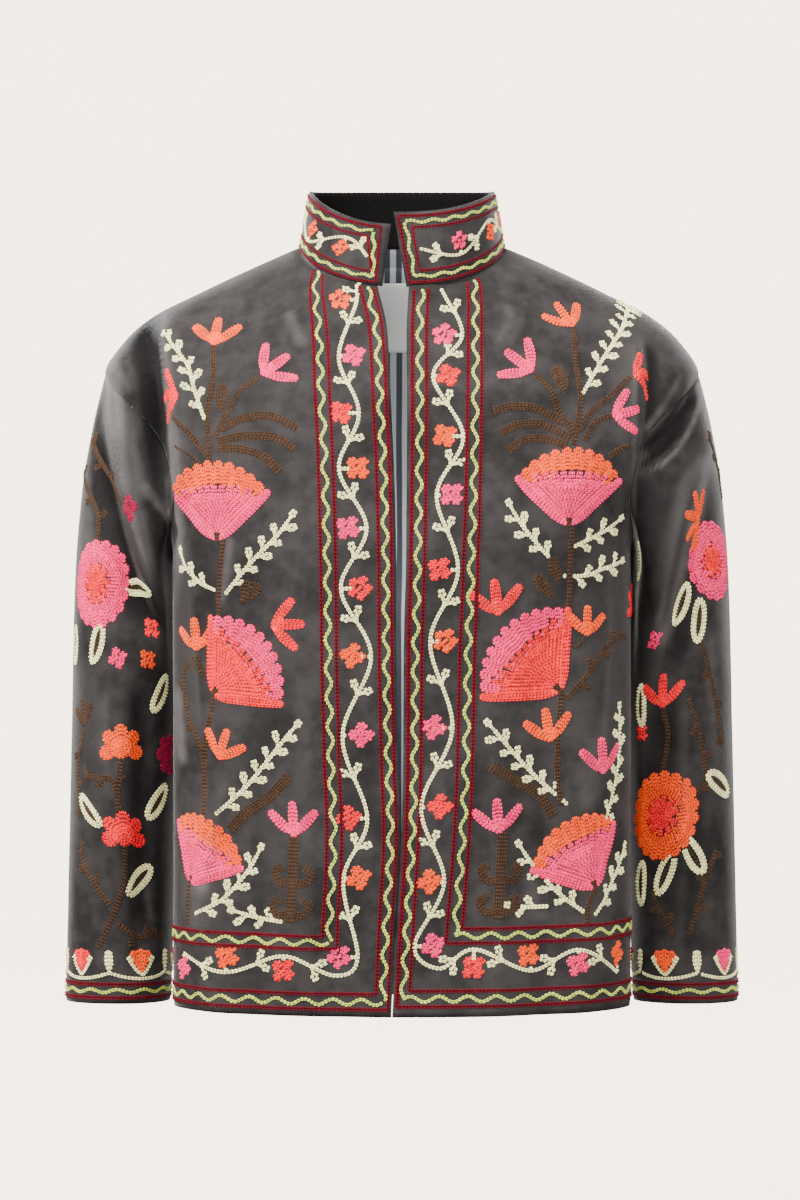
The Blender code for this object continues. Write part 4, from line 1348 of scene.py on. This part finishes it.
def anchor(sewn, foot, turn, size, colour):
    """A straight stem with two pairs of curling arms."""
    sewn.new_patch()
    way = heading(turn)
    left = left_of(way)
    thick(sewn, line_of(foot, foot + size * way), colour, 4)
    for share in (0.10, 0.46):
        for hand in (-1, 1):
            start = foot + share * size * way
            arm = [start, start + hand * 0.15 * size * left - 0.02 * size * way]
            arm += [start + hand * 0.22 * size * left + 0.10 * size * way]
            arm += [start + hand * 0.13 * size * left + 0.16 * size * way]
            thick(sewn, smooth(arm), colour, 3)


def cuff_tulip(sewn, foot, turn, size, colour):
    """A tulip in a pale cup of two long leaves."""
    sewn.new_patch()
    for lean in (0, -22, 22):
        start = foot + 0.10 * size * heading(turn)
        petal(sewn, colour, start, turn + lean, size * 0.90, size * 0.34, narrow=0.7)
    sewn.new_patch()
    for lean in (-36, 36):
        petal(sewn, "cream", foot, turn + lean, size * 0.90, CUP_LEAF, narrow=0.3)


def sprig(sewn, path, colour="cream"):
    """A stem with leaves on both sides and one at its tip."""
    reach = arc_lengths(path, 0)
    path = path[reach < reach[-1] - 0.8 * SPRIG_LEAF]
    reach = reach[: len(path)]
    sewn.row(colour, path, 1.2)
    way = unit(np.gradient(path, axis=0))
    places = np.arange(SPRIG_BARE_FOOT, reach[-1] - SPRIG_BARE_TIP, SPRIG_LEAVES_EVERY / 2)
    for number, place in enumerate(places):
        lean = 44 + 9 * math.sin(3 * number)
        size = SPRIG_LEAF * (0.92 + 0.12 * math.sin(5 * number))
        turn = turn_of(point_at(way, reach, place)) + (lean if number % 2 else -lean)
        club(sewn, colour, point_at(path, reach, place), turn, size)
    club(sewn, colour, path[-1], turn_of(way[-1]), 0.9 * SPRIG_LEAF)


def thick(sewn, path, colour, rows):
    """A stem or frond several rows wide."""
    for k in np.arange(rows) - (rows - 1) / 2:
        sewn.row(colour, beside(path, k * STEM_ROWS_APART) if k else path, 0.95)


def twig(sewn, path, colour="brown"):
    """A branch with short blunt side twigs, like an antler."""
    thick(sewn, path, colour, 2)
    way = unit(np.gradient(path, axis=0))
    for number, k in enumerate(range(TWIG_EVERY, len(path), TWIG_EVERY)):
        turn = turn_of(way[k]) + (50 if number % 2 else -50)
        petal(sewn, colour, path[k], turn, TWIG_LENGTH, TWIG_WIDTH, narrow=0.6)


def line_of(start, stop, count=40):
    share = np.linspace(0, 1, count)[:, None]
    return np.asarray(start, float) * (1 - share) + np.asarray(stop, float) * share


def waved(path, height, period):
    """A path swung to both sides in even waves."""
    fine = smooth(path, 8)
    reach = arc_lengths(fine, 0)
    even = np.arange(0, reach[-1], period / 14)
    return beside(point_at(fine, reach, even), height * np.sin(2 * np.pi * even / period))


def border_line(sewn, colour, path, wave):
    """A straight thin line or a waved one of plain width."""
    sewn.row(colour, waved(path, wave, WAVE_PERIOD) if wave else path, 1 if wave else WINE_WIDTH)


MOTIFS = {
    "tulip": tulip,
    "four": four_petals,
    "fan": fan,
    "round": round_flower,
    "half": half_flower,
    "slit": slit_leaf,
    "petal": one_petal,
    "anchor": anchor,
    "star": star,
}
BRANCHES = {"sprig": sprig, "twig": twig}


def sew_table(sewn, motifs, stems, seen):
    """Sew a table of motifs and then one of stems. Places are in the photo's frame if seen, else in mm."""

    def found(places):
        places = np.reshape(places, (-1, 2))
        return sewn.cloth.under(places) if seen else places / 1000

    for kind, x, y, turn, size, *colours in motifs:
        MOTIFS[kind](sewn, found((x, y))[0], turn, size / 1000, *colours)
    for kind, *places in stems:
        path = smooth(found(places))
        sewn.new_patch()
        if kind in BRANCHES:
            BRANCHES[kind](sewn, path)
        else:
            thick(sewn, path, "brown", kind)


def vine(sewn, bends, flower=0.0232, leaf=0.0136, width=1.15):
    """A stem that winds past its flowers, with a pair of leaves before each. A bend is a flower's place, its
    colour or None, and where the stem passes it."""
    path = smooth([passing for _, _, passing in bends], VINE_STEPS)
    for number, (spot, colour, _) in enumerate(bends):
        if colour:
            four_petals(sewn, spot, 11 * number, flower, colour)
    sewn.new_patch()
    sewn.row("cream", path, width)
    for number, (spot, colour, passing) in enumerate(bends):
        if colour:
            sewn.row("cream", line_of(passing, passing + 0.6 * (spot - passing), 4), width)
        if number and (colour or number == len(bends) - 1):
            k = VINE_STEPS * number - VINE_STEPS // 2
            for lean in (-42, 42):
                club(sewn, "cream", path[k], turn_of(path[k - 2] - path[k + 2]) + lean, leaf)


def border(sewn, side):
    """The lines and the vine along a front's free edge and on round the mitred corner along its hem."""
    top = sewn.cloth.height
    for at_hem, at_neck, up, colour, wave in RIGHT_LINES if side < 0 else LEFT_LINES:
        column_at = int((side * at_neck - sewn.cloth.low_u) / CLOTH_STEP)
        high = top[column_at] - NECK_LEAVES
        corner = np.array([side * at_hem, up])
        for line in (line_of((side * at_neck, high), corner), line_of(corner, (side * PAST_SIDE_SEAM, up))):
            border_line(sewn, colour, line, wave)
    bends = []
    for x, y, colour, aside, below in RIGHT_BAND if side < 0 else LEFT_BAND:
        spot, passing = sewn.cloth.under(((x, y), (x + aside, y + below)))
        bends.append((spot, colour, passing))
    vine(sewn, bends)


def level_bends(start, stop, pitch, up, swing, lift):
    """Bends of a vine along a level band, whose stem passes over and under its flowers by turns."""
    bends = []
    for number, u in enumerate(np.arange(start, stop, pitch)):
        hand = 1 if number % 2 else -1
        flower, stem = np.array([u, up + hand * lift]), np.array([u, up - hand * swing])
        bends.append((flower, FLOWER_COLOURS[number % 3], stem))
    return bends


def hem_border(sewn):
    """The same border along the hem of the back."""
    for *_, up, colour, wave in LEFT_LINES:
        border_line(sewn, colour, line_of((-PAST_SIDE_SEAM, up), (PAST_SIDE_SEAM, up)), wave)
    vine(sewn, level_bends(*BACK_VINE, VINE_PITCH, VINE_UP, VINE_SWING, VINE_FLOWER_LIFT))


def cuff_border(sewn, first):
    """Lines, a scallop row and upright tulips round a cuff."""
    low, high = sewn.cloth.low_u, sewn.cloth.low_u + CLOTH_STEP * sewn.cloth.grid.shape[1]
    for up, colour, wave in CUFF_LINES:
        border_line(sewn, colour, line_of((low, up), (high, up)), wave)
    pitch = (high - low) / CUFF_TULIPS
    for number in range(CUFF_TULIPS):
        middle = low + (number + 0.5) * pitch
        spread = np.linspace(-0.5, 0.5, 12)
        colour = FLOWER_COLOURS[(number + first) % 3]
        cuff_tulip(sewn, np.array([middle, CUFF_TULIP_UP]), 90, CUFF_TULIP, colour)
        scallop = CUFF_SCALLOP_UP + CUFF_SCALLOP_HIGH * (2 * spread) ** 2
        sewn.row("cream", np.stack([middle + spread * pitch, scallop], -1))
        foot = np.array([middle + pitch / 2, CUFF_TULIP_UP + CUFF_PETAL_LIFT])
        petal(sewn, "cream", foot, 90, CUFF_PETAL_LENGTH, CUFF_PETAL_WIDTH)


def collar_border(sewn):
    """Lines round the collar's edges and a vine with small flowers between them."""
    grid = sewn.cloth.grid
    u = sewn.cloth.low_u + CLOTH_STEP * np.arange(grid.shape[1])
    length, height = u[-1], sewn.cloth.height
    valid = grid[..., ON_CLOTH] > 0.99
    half_up = len(grid) // 2
    foot_length, half_up_length = u[valid[1]].max(), u[valid[half_up]].max()
    lean = (half_up_length - foot_length) / ((half_up - 1) * CLOTH_STEP)
    for inset, colour, wave in COLLAR_LINES:
        end_up = np.interp(length - inset, u, height) - inset
        foot_end = (foot_length - inset, inset)
        top_end = (min(foot_length + lean * end_up, length) - inset, end_up)
        along = np.linspace(inset, top_end[0], 200)
        over = np.interp(along, u, height) - inset
        for path in (
            line_of((inset, inset), foot_end, 200),
            np.stack([along, over], -1),
            line_of((inset, inset), (inset, over[0])),
            line_of(foot_end, (top_end[0], over[-1])),
        ):
            sewn.row(colour, waved(path, wave, COLLAR_WAVE_PERIOD) if wave else path, COLLAR_LINE_WIDTH)

    def middle(place):
        return np.interp(place, u, height) / 2

    front = [(sewn.cloth.under((x, y))[0][0], colour) for x, y, colour in COLLAR_FRONT]
    rest = np.linspace(COLLAR_FLOWERS_FROM, length - COLLAR_FLOWERS_TO, COLLAR_FLOWERS)
    flowers = sorted(front + [(place, FLOWER_COLOURS[k % 3]) for k, place in enumerate(rest)])
    bends = [(None, None, np.array([COLLAR_STEM_FROM, middle(COLLAR_STEM_FROM)]))]
    for number, (place, colour) in enumerate(flowers):
        hand = -1 if number % 2 else 1
        v = middle(place)
        stem = np.array([place, v - COLLAR_SWING * hand])
        bends.append((np.array([place, v + COLLAR_FLOWER_LIFT * hand]), colour, stem))
    stem_end = length - COLLAR_STEM_TO
    bends.append((None, None, np.array([stem_end, middle(stem_end) - COLLAR_STEM_DROP])))
    vine(sewn, bends, COLLAR_FLOWER, COLLAR_LEAF, COLLAR_STEM)


def mirrored(motifs, stems):
    """The same tables on the other half, where each x and each turn is mirrored."""
    return (
        [(kind, -x, y, 180 - turn, *rest) for kind, x, y, turn, *rest in motifs],
        [(kind, *(v if k % 2 else -v for k, v in enumerate(places))) for kind, *places in stems],
    )


class Value:
    """A number socket that takes part in sums, so that a material reads as arithmetic."""

    def __init__(self, graph, socket):
        self.graph, self.socket = graph, socket

    def made(self, operation, *others):
        node = self.graph.add("ShaderNodeMath", {"operation": operation}, self, *others)
        return Value(self.graph, node.outputs[0])

    def __add__(self, other):
        return self.made("ADD", other)

    __radd__ = __add__

    def __sub__(self, other):
        return self.made("SUBTRACT", other)

    def __rsub__(self, other):
        node = self.graph.add("ShaderNodeMath", {"operation": "SUBTRACT"}, other, self)
        return Value(self.graph, node.outputs[0])

    def __mul__(self, other):
        return self.made("MULTIPLY", other)

    def __truediv__(self, other):
        return self.made("DIVIDE", other)

    def fraction(self):
        return self.made("FRACT")

    def ramp(self, low, high):
        """0 at low, 1 at high and smooth between them."""
        settings = {"interpolation_type": "SMOOTHSTEP"}
        node = self.graph.add("ShaderNodeMapRange", settings, self, low, high, 0.0, 1.0)
        return Value(self.graph, node.outputs[0])


class Graph:
    """The nodes of one material."""

    def __init__(self, name):
        self.material = bpy.data.materials.new(name)
        self.material.use_nodes = True
        self.nodes, self.links = self.material.node_tree.nodes, self.material.node_tree.links
        self.finish = self.nodes["Principled BSDF"]

    def put(self, socket, value):
        if isinstance(value, Value):
            value = value.socket
        if isinstance(value, bpy.types.NodeSocket):
            self.links.new(value, socket)
        elif value is not None:
            socket.default_value = value

    def add(self, kind, settings, *inputs, **named):
        """A node of a type, its settings, and then its inputs by order or by name."""
        node = self.nodes.new(kind)
        for name, value in settings.items():
            setattr(node, name, value)
        for socket, value in zip(node.inputs, inputs):
            self.put(socket, value)
        for name, value in named.items():
            self.put(node.inputs[name.replace("_", " ")], value)
        return node

    def noise(self, place, scale, detail=3.0):
        node = self.add("ShaderNodeTexNoise", {}, Vector=place, Scale=scale, Detail=detail, Roughness=0.55)
        return Value(self, node.outputs["Fac"])

    def attribute(self, name):
        return Value(self, self.add("ShaderNodeAttribute", {"attribute_name": name}).outputs["Fac"])

    def object_place(self):
        return self.add("ShaderNodeTexCoord", {}).outputs["Object"]

    def flat_place(self):
        """Metres across and up on the flat cloth."""
        flat = self.add("ShaderNodeUVMap", {"uv_map": "flat_cloth"}).outputs[0]
        split = self.add("ShaderNodeSeparateXYZ", {}, flat)
        return Value(self, split.outputs[0]), Value(self, split.outputs[1])

    def blend(self, share, first, second):
        node = self.nodes.new("ShaderNodeMix")
        node.data_type = "RGBA"
        colours = [socket for socket in node.inputs if socket.type == "RGBA"]
        self.put(node.inputs[0], share)
        for socket, value in zip(colours, (first, second)):
            self.put(socket, (*value, 1) if isinstance(value, tuple) else value)
        return [socket for socket in node.outputs if socket.type == "RGBA"][0]

    def dress(self, colour, roughness, bump=None, bump_height=0.0003, **constants):
        self.put(self.finish.inputs["Base Color"], colour)
        self.put(self.finish.inputs["Roughness"], roughness)
        if bump is not None:
            node = self.add("ShaderNodeBump", {}, Strength=1.0, Distance=bump_height, Height=bump)
            self.put(self.finish.inputs["Normal"], node.outputs[0])
        for name, value in constants.items():
            self.finish.inputs[name.replace("_", " ")].default_value = value
        return self.material


def dimmer(colour, share):
    return tuple(share * value for value in colour)


def threads(place, pitch):
    """Round threads side by side, 1 at the end of each."""
    return (place / pitch + THREADS_START).fraction().ramp(0.1, 0.9)


@functools.cache
def velvet():
    """Cotton velvet: a short nap, lighter and darker in soft random patches, with painted shade in its
    creases, painted highlights on its crests and strokes of painted light and shade.
    """
    graph = Graph("taupe_velvet")
    place = graph.object_place()
    broad, patches = graph.noise(place, 14.0), graph.noise(place, 75.0, 4.0)
    nap, fine = graph.noise(place, 900.0, 2.0), graph.noise(place, 2600.0, 2.0)
    shade = (broad * 0.55 + patches * 0.45).ramp(0.34, 0.64)
    soft = graph.blend(shade, dimmer(VELVET, 0.62), dimmer(VELVET, 1.75))
    raised, stroke_painted_light = graph.attribute("raised"), graph.attribute("brushed")
    # Painted shade in the folds' valleys and a painted highlight on their crests, by how far the cloth is
    # raised.
    crease_painted_shade = graph.blend(raised.ramp(-0.0010, -0.0060) * 0.80, soft, dimmer(VELVET, 0.22))
    crest_painted_highlight = graph.blend(raised.ramp(0.0012, 0.0065) * 0.60, crease_painted_shade, dimmer(VELVET, 2.20))
    # Painted shade and painted highlight along the strokes, a little uneven.
    uneven = patches.ramp(0.25, 0.75) * 0.35 + 0.72
    stroke_painted_shade = graph.blend(stroke_painted_light.ramp(-0.08, -0.95) * uneven * 0.95, crest_painted_highlight, dimmer(VELVET, 0.10))
    stroke_painted_highlight = graph.blend(stroke_painted_light.ramp(0.08, 1.0) * uneven * 0.85, stroke_painted_shade, dimmer(VELVET, 6.6))
    grain = graph.blend(nap.ramp(0.3, 0.7) * 0.30, stroke_painted_highlight, dimmer(VELVET, 1.05))
    return graph.dress(
        grain,
        0.62 + patches * 0.22,
        nap * 0.6 + fine * 0.4,
        0.0003,
        Sheen_Weight=0.21,
        Sheen_Roughness=0.28,
        Sheen_Tint=(0.92, 0.87, 0.84, 1),
        Specular_IOR_Level=0.06,
    )


@functools.cache
def ribbed_dark():
    """The collar's dark facing, with fine upright ribs."""
    graph = Graph("dark_ribbed_facing")
    rib = (graph.flat_place()[0] / RIB_PITCH).fraction()
    ridge = rib.ramp(0.0, 0.35) - rib.ramp(0.65, 1.0)
    colour = graph.blend(ridge, FACING_GROOVE, FACING_RIB)
    return graph.dress(colour, 0.85 - ridge * 0.1, ridge, 0.0005, Specular_IOR_Level=0.05)


@functools.cache
def striped():
    """Plain woven lining with upright navy and pale stripes."""
    graph = Graph("striped_lining_weave")
    across, up = graph.flat_place()
    place = ((across + STRIPES_START) / STRIPE_PITCH + 20.0).fraction()
    pale = place.ramp(0.22, 0.28) - place.ramp(0.72, 0.78)
    weave = threads(across, LINING_THREAD) * 0.5 + threads(up, LINING_THREAD) * 0.5
    colour = graph.blend(weave * 0.25, graph.blend(pale, LINING_NAVY, LINING_PALE), LINING_GAPS)
    return graph.dress(colour, 0.72 - weave * 0.12, weave, 0.0002, Specular_IOR_Level=0.3)


@functools.cache
def label_weave():
    graph = Graph("grey_label_weave")
    place = graph.object_place()
    split = graph.add("ShaderNodeSeparateXYZ", {}, place)
    warp, weft = (threads(Value(graph, split.outputs[k]), LABEL_THREAD) for k in (0, 2))
    weave = warp * 0.5 + weft * 0.5
    worn = graph.noise(place, 160.0)
    colour = graph.blend(weave * 0.4 + worn * 0.4, LABEL_LIGHT, LABEL_WORN)
    return graph.dress(colour, 0.60 + worn * 0.15, weave, 0.0002, Specular_IOR_Level=0.4)


@functools.cache
def wool(colour, in_painted_shade=False):
    """Two ply wool yarn, with lighter and darker lengths and a fine twist, or the same yarn darkened as
    painted shade for the cord between the loops.
    """
    graph = Graph(colour + ("_wool_between_loops" if in_painted_shade else "_wool_yarn"))
    place = graph.object_place()
    lengths, fibre = graph.noise(place, 210.0, 2.0), graph.noise(place, 2400.0, 3.0)
    shade = lengths.ramp(0.30, 0.70)
    # Between the loops the yarn's colour is darkened to 0.42 as painted shade.
    base = dimmer(WOOL[colour], 0.42 if in_painted_shade else 1.0)
    dyed = graph.blend(shade, dimmer(base, 0.80), tuple(min(1.0, 1.14 * value) for value in base))
    colours = graph.blend(fibre.ramp(0.35, 0.75) * 0.35, dyed, dimmer(base, 0.62))
    sheen = {"Sheen_Weight": 0.02, "Sheen_Roughness": 0.5}
    return graph.dress(colours, 0.74 + fibre * 0.12, fibre, 0.0004, Specular_IOR_Level=0.08, **sheen)


class JacketSettings(bpy.types.PropertyGroup):
    """Sizes of the stitches and the strength of the studio's lights."""

    stitch_length: bpy.props.FloatProperty(
        name="Stitch length",
        description="Length of one link of chain stitch",
        default=0.0030,
        unit="LENGTH",
    )
    stitch_width: bpy.props.FloatProperty(
        name="Stitch width", description="Width of one row of chain stitch", default=0.0031, unit="LENGTH"
    )
    stitch_height: bpy.props.FloatProperty(
        name="Stitch height",
        description="How far the yarn stands off the velvet",
        default=0.0013,
        unit="LENGTH",
    )
    light: bpy.props.FloatProperty(
        name="Light", description="Power of the key light", default=365.0, unit="POWER"
    )
    room: bpy.props.FloatProperty(
        name="Room", description="Strength of the light from all round", default=0.42
    )


class JacketStep:
    """What every step of the build shares."""

    bl_options = {"REGISTER", "UNDO"}

    def embroider(self, context, name, sew):
        sewn = Embroidery(name, context.scene.jacket)
        sew(sewn)
        stitches = sewn.make()
        if not stitches:
            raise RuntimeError("nothing was sewn on " + name)
        declare(name)


def declare(name):
    return bpy.data.objects[shell_name(name)]


def shell_name(name):
    return ("woven_" if name in ("lining_back", "label") else "velvet_") + name


class JACKET_OT_velvet(JacketStep, bpy.types.Operator):
    """Make the velvet shells of the fronts, the back and the sleeves, with their linings"""

    bl_idname = "jacket.velvet"
    bl_label = "Velvet pieces"

    def execute(self, context):
        for name in ("front_right", "front_left", "back", "sleeve_right", "sleeve_left"):
            points, normals, across = surface(name)
            piece = shell(shell_name(name), points, normals, CLOTH, [velvet(), striped()], across)
            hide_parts(name)
        return {"FINISHED"}


class JACKET_OT_collar(JacketStep, bpy.types.Operator):
    """Make the standing collar and its embroidery"""

    bl_idname = "jacket.collar"
    bl_label = "Collar"

    def execute(self, context):
        points, normals, across = surface("collar")
        faced = [velvet(), ribbed_dark()]
        piece = shell(shell_name("collar"), points, normals, COLLAR_CLOTH, faced, across)
        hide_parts("collar")
        self.embroider(context, "collar", collar_border)
        return {"FINISHED"}


class JACKET_OT_lining(JacketStep, bpy.types.Operator):
    """Make the striped lining of the back and the bare label on it"""

    bl_idname = "jacket.lining"
    bl_label = "Lining and label"

    def execute(self, context):
        points, normals, across = surface("back")
        rows = slice(LINING_LEAVES_ROWS, -LINING_LEAVES_ROWS)
        columns = slice(LINING_LEAVES_COLUMNS, -LINING_LEAVES_COLUMNS)
        laid = (points - (CLOTH + SEAM_GAP) * normals)[rows, columns][::2, ::2]
        facing, place = normals[rows, columns][::2, ::2], across[rows, columns][::2, ::2]
        piece = shell(shell_name("lining_back"), laid, facing, LINING_CLOTH, [striped(), striped()], place)
        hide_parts("lining_back")
        declare("lining_back")
        self.label(laid - LINING_CLOTH * facing)
        return {"FINISHED"}

    def label(self, lining_face):
        """The label follows the lining's inner face behind it."""
        x = LABEL_MIDDLE_X + LABEL_WIDTH * np.linspace(-0.5, 0.5, LABEL_COLUMNS)
        z = np.linspace(LABEL_BOTTOM_Z, LABEL_TOP_Z, LABEL_ROWS)
        spots = lining_face.reshape(-1, 3)
        behind = spots[spots[:, 1] > 0]
        grid_x, grid_z = np.meshgrid(x, z)
        away = (behind[:, 0] - grid_x[..., None]) ** 2 + (behind[:, 2] - grid_z[..., None]) ** 2
        near = np.argsort(away, axis=-1)[..., :6]
        weight = 1 / (np.take_along_axis(away, near, -1) + 1e-7)
        y = (behind[near, 1] * weight).sum(-1) / weight.sum(-1) - 2 * SEAM_GAP
        points = np.stack([grid_x, y, grid_z], -1)
        normals = np.broadcast_to((0.0, 1.0, 0.0), points.shape)
        piece = shell(shell_name("label"), points, normals, LABEL_CLOTH, [label_weave()] * 2, grid_x)
        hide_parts("label")
        declare("label")


class JACKET_OT_fronts(JacketStep, bpy.types.Operator):
    """Embroider the two fronts"""

    bl_idname = "jacket.fronts"
    bl_label = "Embroidery of the fronts"

    def execute(self, context):
        def right(sewn):
            border(sewn, -1)
            sew_table(sewn, RIGHT_MOTIFS, RIGHT_STEMS, seen=True)

        def left(sewn):
            border(sewn, 1)
            sew_table(sewn, LEFT_MOTIFS, LEFT_STEMS, seen=True)

        self.embroider(context, "front_right", right)
        self.embroider(context, "front_left", left)
        return {"FINISHED"}


class JACKET_OT_back(JacketStep, bpy.types.Operator):
    """Embroider the back"""

    bl_idname = "jacket.back"
    bl_label = "Embroidery of the back"

    def execute(self, context):
        def sew(sewn):
            hem_border(sewn)
            sew_table(sewn, BACK_MOTIFS, BACK_STEMS, seen=False)
            sew_table(sewn, *mirrored(BACK_MOTIFS, BACK_STEMS), seen=False)
            sew_table(sewn, BACK_MIDDLE_MOTIFS, BACK_MIDDLE_STEMS, seen=False)

        self.embroider(context, "back", sew)
        return {"FINISHED"}


class JACKET_OT_sleeves(JacketStep, bpy.types.Operator):
    """Embroider the two sleeves"""

    bl_idname = "jacket.sleeves"
    bl_label = "Embroidery of the sleeves"

    def execute(self, context):
        def right(sewn):
            cuff_border(sewn, 1)
            sew_table(sewn, SLEEVE_RIGHT_MOTIFS, SLEEVE_RIGHT_STEMS, seen=True)
            sew_table(sewn, *mirrored(SLEEVE_BACK_MOTIFS, SLEEVE_BACK_STEMS), seen=False)

        def left(sewn):
            cuff_border(sewn, 0)
            sew_table(sewn, SLEEVE_LEFT_MOTIFS, SLEEVE_LEFT_STEMS, seen=True)
            sew_table(sewn, SLEEVE_BACK_MOTIFS, SLEEVE_BACK_STEMS, seen=False)

        self.embroider(context, "sleeve_right", right)
        self.embroider(context, "sleeve_left", left)
        return {"FINISHED"}


def area_light(name, place, aim, size, power):
    data = bpy.data.lights.new(name, "AREA")
    data.shape = "DISK"
    data.size, data.energy = size, power
    lamp = bpy.data.objects.new(name, data)
    way = np.subtract(aim, place)
    lamp.location = place
    lamp.rotation_euler = (math.atan2(math.hypot(way[0], way[1]), -way[2]), 0, math.atan2(-way[0], way[1]))
    lamp.visible_camera = False
    bpy.context.scene.collection.objects.link(lamp)


class JACKET_OT_stage(JacketStep, bpy.types.Operator):
    """Set up the pale floor and backdrop, the soft lights and the camera"""

    bl_idname = "jacket.stage"
    bl_label = "Studio"

    def execute(self, context):
        settings = context.scene.jacket
        turn = np.linspace(0, 2 * np.pi, FLOOR_SIDES, endpoint=False)
        profile = np.array(FLOOR_PROFILE)
        radius, height = profile[:, :1], profile[:, 1:] + 0 * turn
        vertices = np.stack([radius * np.cos(turn), radius * np.sin(turn), height], -1).reshape(-1, 3)
        inner = np.arange(len(profile) - 1)[:, None] * len(turn) + np.arange(len(turn))
        after = inner - np.arange(len(turn)) + (np.arange(len(turn)) + 1) % len(turn)
        faces = np.stack([inner, after, after + len(turn), inner + len(turn)], -1).reshape(-1, 4)
        graph = Graph("pale_floor")
        place = graph.object_place()
        tone = graph.blend(graph.noise(place, 3.0).ramp(0.2, 0.8), FLOOR, dimmer(FLOOR, 0.99))
        graph.put(graph.finish.inputs["Emission Color"], tone)
        pale = graph.dress((0.02, 0.02, 0.02, 1), 0.9, Specular_IOR_Level=0.0, Emission_Strength=FLOOR_GLOW)
        floor = mesh_object("pale_floor", vertices, faces, [pale])
        floor.visible_diffuse = floor.visible_glossy = floor.visible_shadow = False
        for name, place, aim, size, share in LIGHTS:
            area_light(name, place, aim, size, share * settings.light)
        world = bpy.data.worlds.new("soft_room")
        world.use_nodes = True
        background = world.node_tree.nodes["Background"]
        background.inputs[0].default_value, background.inputs[1].default_value = ROOM_COLOUR, settings.room
        context.scene.world = world
        lens = bpy.data.cameras.new("photo_camera")
        lens.lens, lens.sensor_width, lens.sensor_fit = LENS, SENSOR, "AUTO"
        lens.clip_end = 50
        camera = bpy.data.objects.new("photo_camera", lens)
        camera.location = CAMERA
        camera.rotation_euler = (math.radians(90), 0, 0)
        context.scene.collection.objects.link(camera)
        context.scene.camera = camera
        return {"FINISHED"}


class JACKET_PT_panel(bpy.types.Panel):
    """The jacket's steps and sizes in the sidebar"""

    bl_label = "Velvet jacket"
    bl_space_type = "VIEW_3D"
    bl_region_type = "UI"
    bl_category = "Jacket"

    def draw(self, context):
        for name in JacketSettings.__annotations__:
            self.layout.prop(context.scene.jacket, name)
        for step in STEPS:
            self.layout.operator(step.bl_idname)


STEPS = (
    JACKET_OT_velvet,
    JACKET_OT_lining,
    JACKET_OT_collar,
    JACKET_OT_fronts,
    JACKET_OT_back,
    JACKET_OT_sleeves,
    JACKET_OT_stage,
)
CLASSES = (JacketSettings, *STEPS, JACKET_PT_panel)


def register():
    for kind in CLASSES:
        bpy.utils.register_class(kind)
    bpy.types.Scene.jacket = bpy.props.PointerProperty(type=JacketSettings)


def unregister():
    del bpy.types.Scene.jacket
    for kind in reversed(CLASSES):
        bpy.utils.unregister_class(kind)


def main():
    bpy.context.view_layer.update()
    register()
    bpy.ops.jacket.velvet()
    bpy.ops.jacket.lining()
    bpy.ops.jacket.collar()
    bpy.ops.jacket.fronts()
    bpy.ops.jacket.back()
    bpy.ops.jacket.sleeves()
    bpy.ops.jacket.stage()


if __name__ == "__main__":
    main()
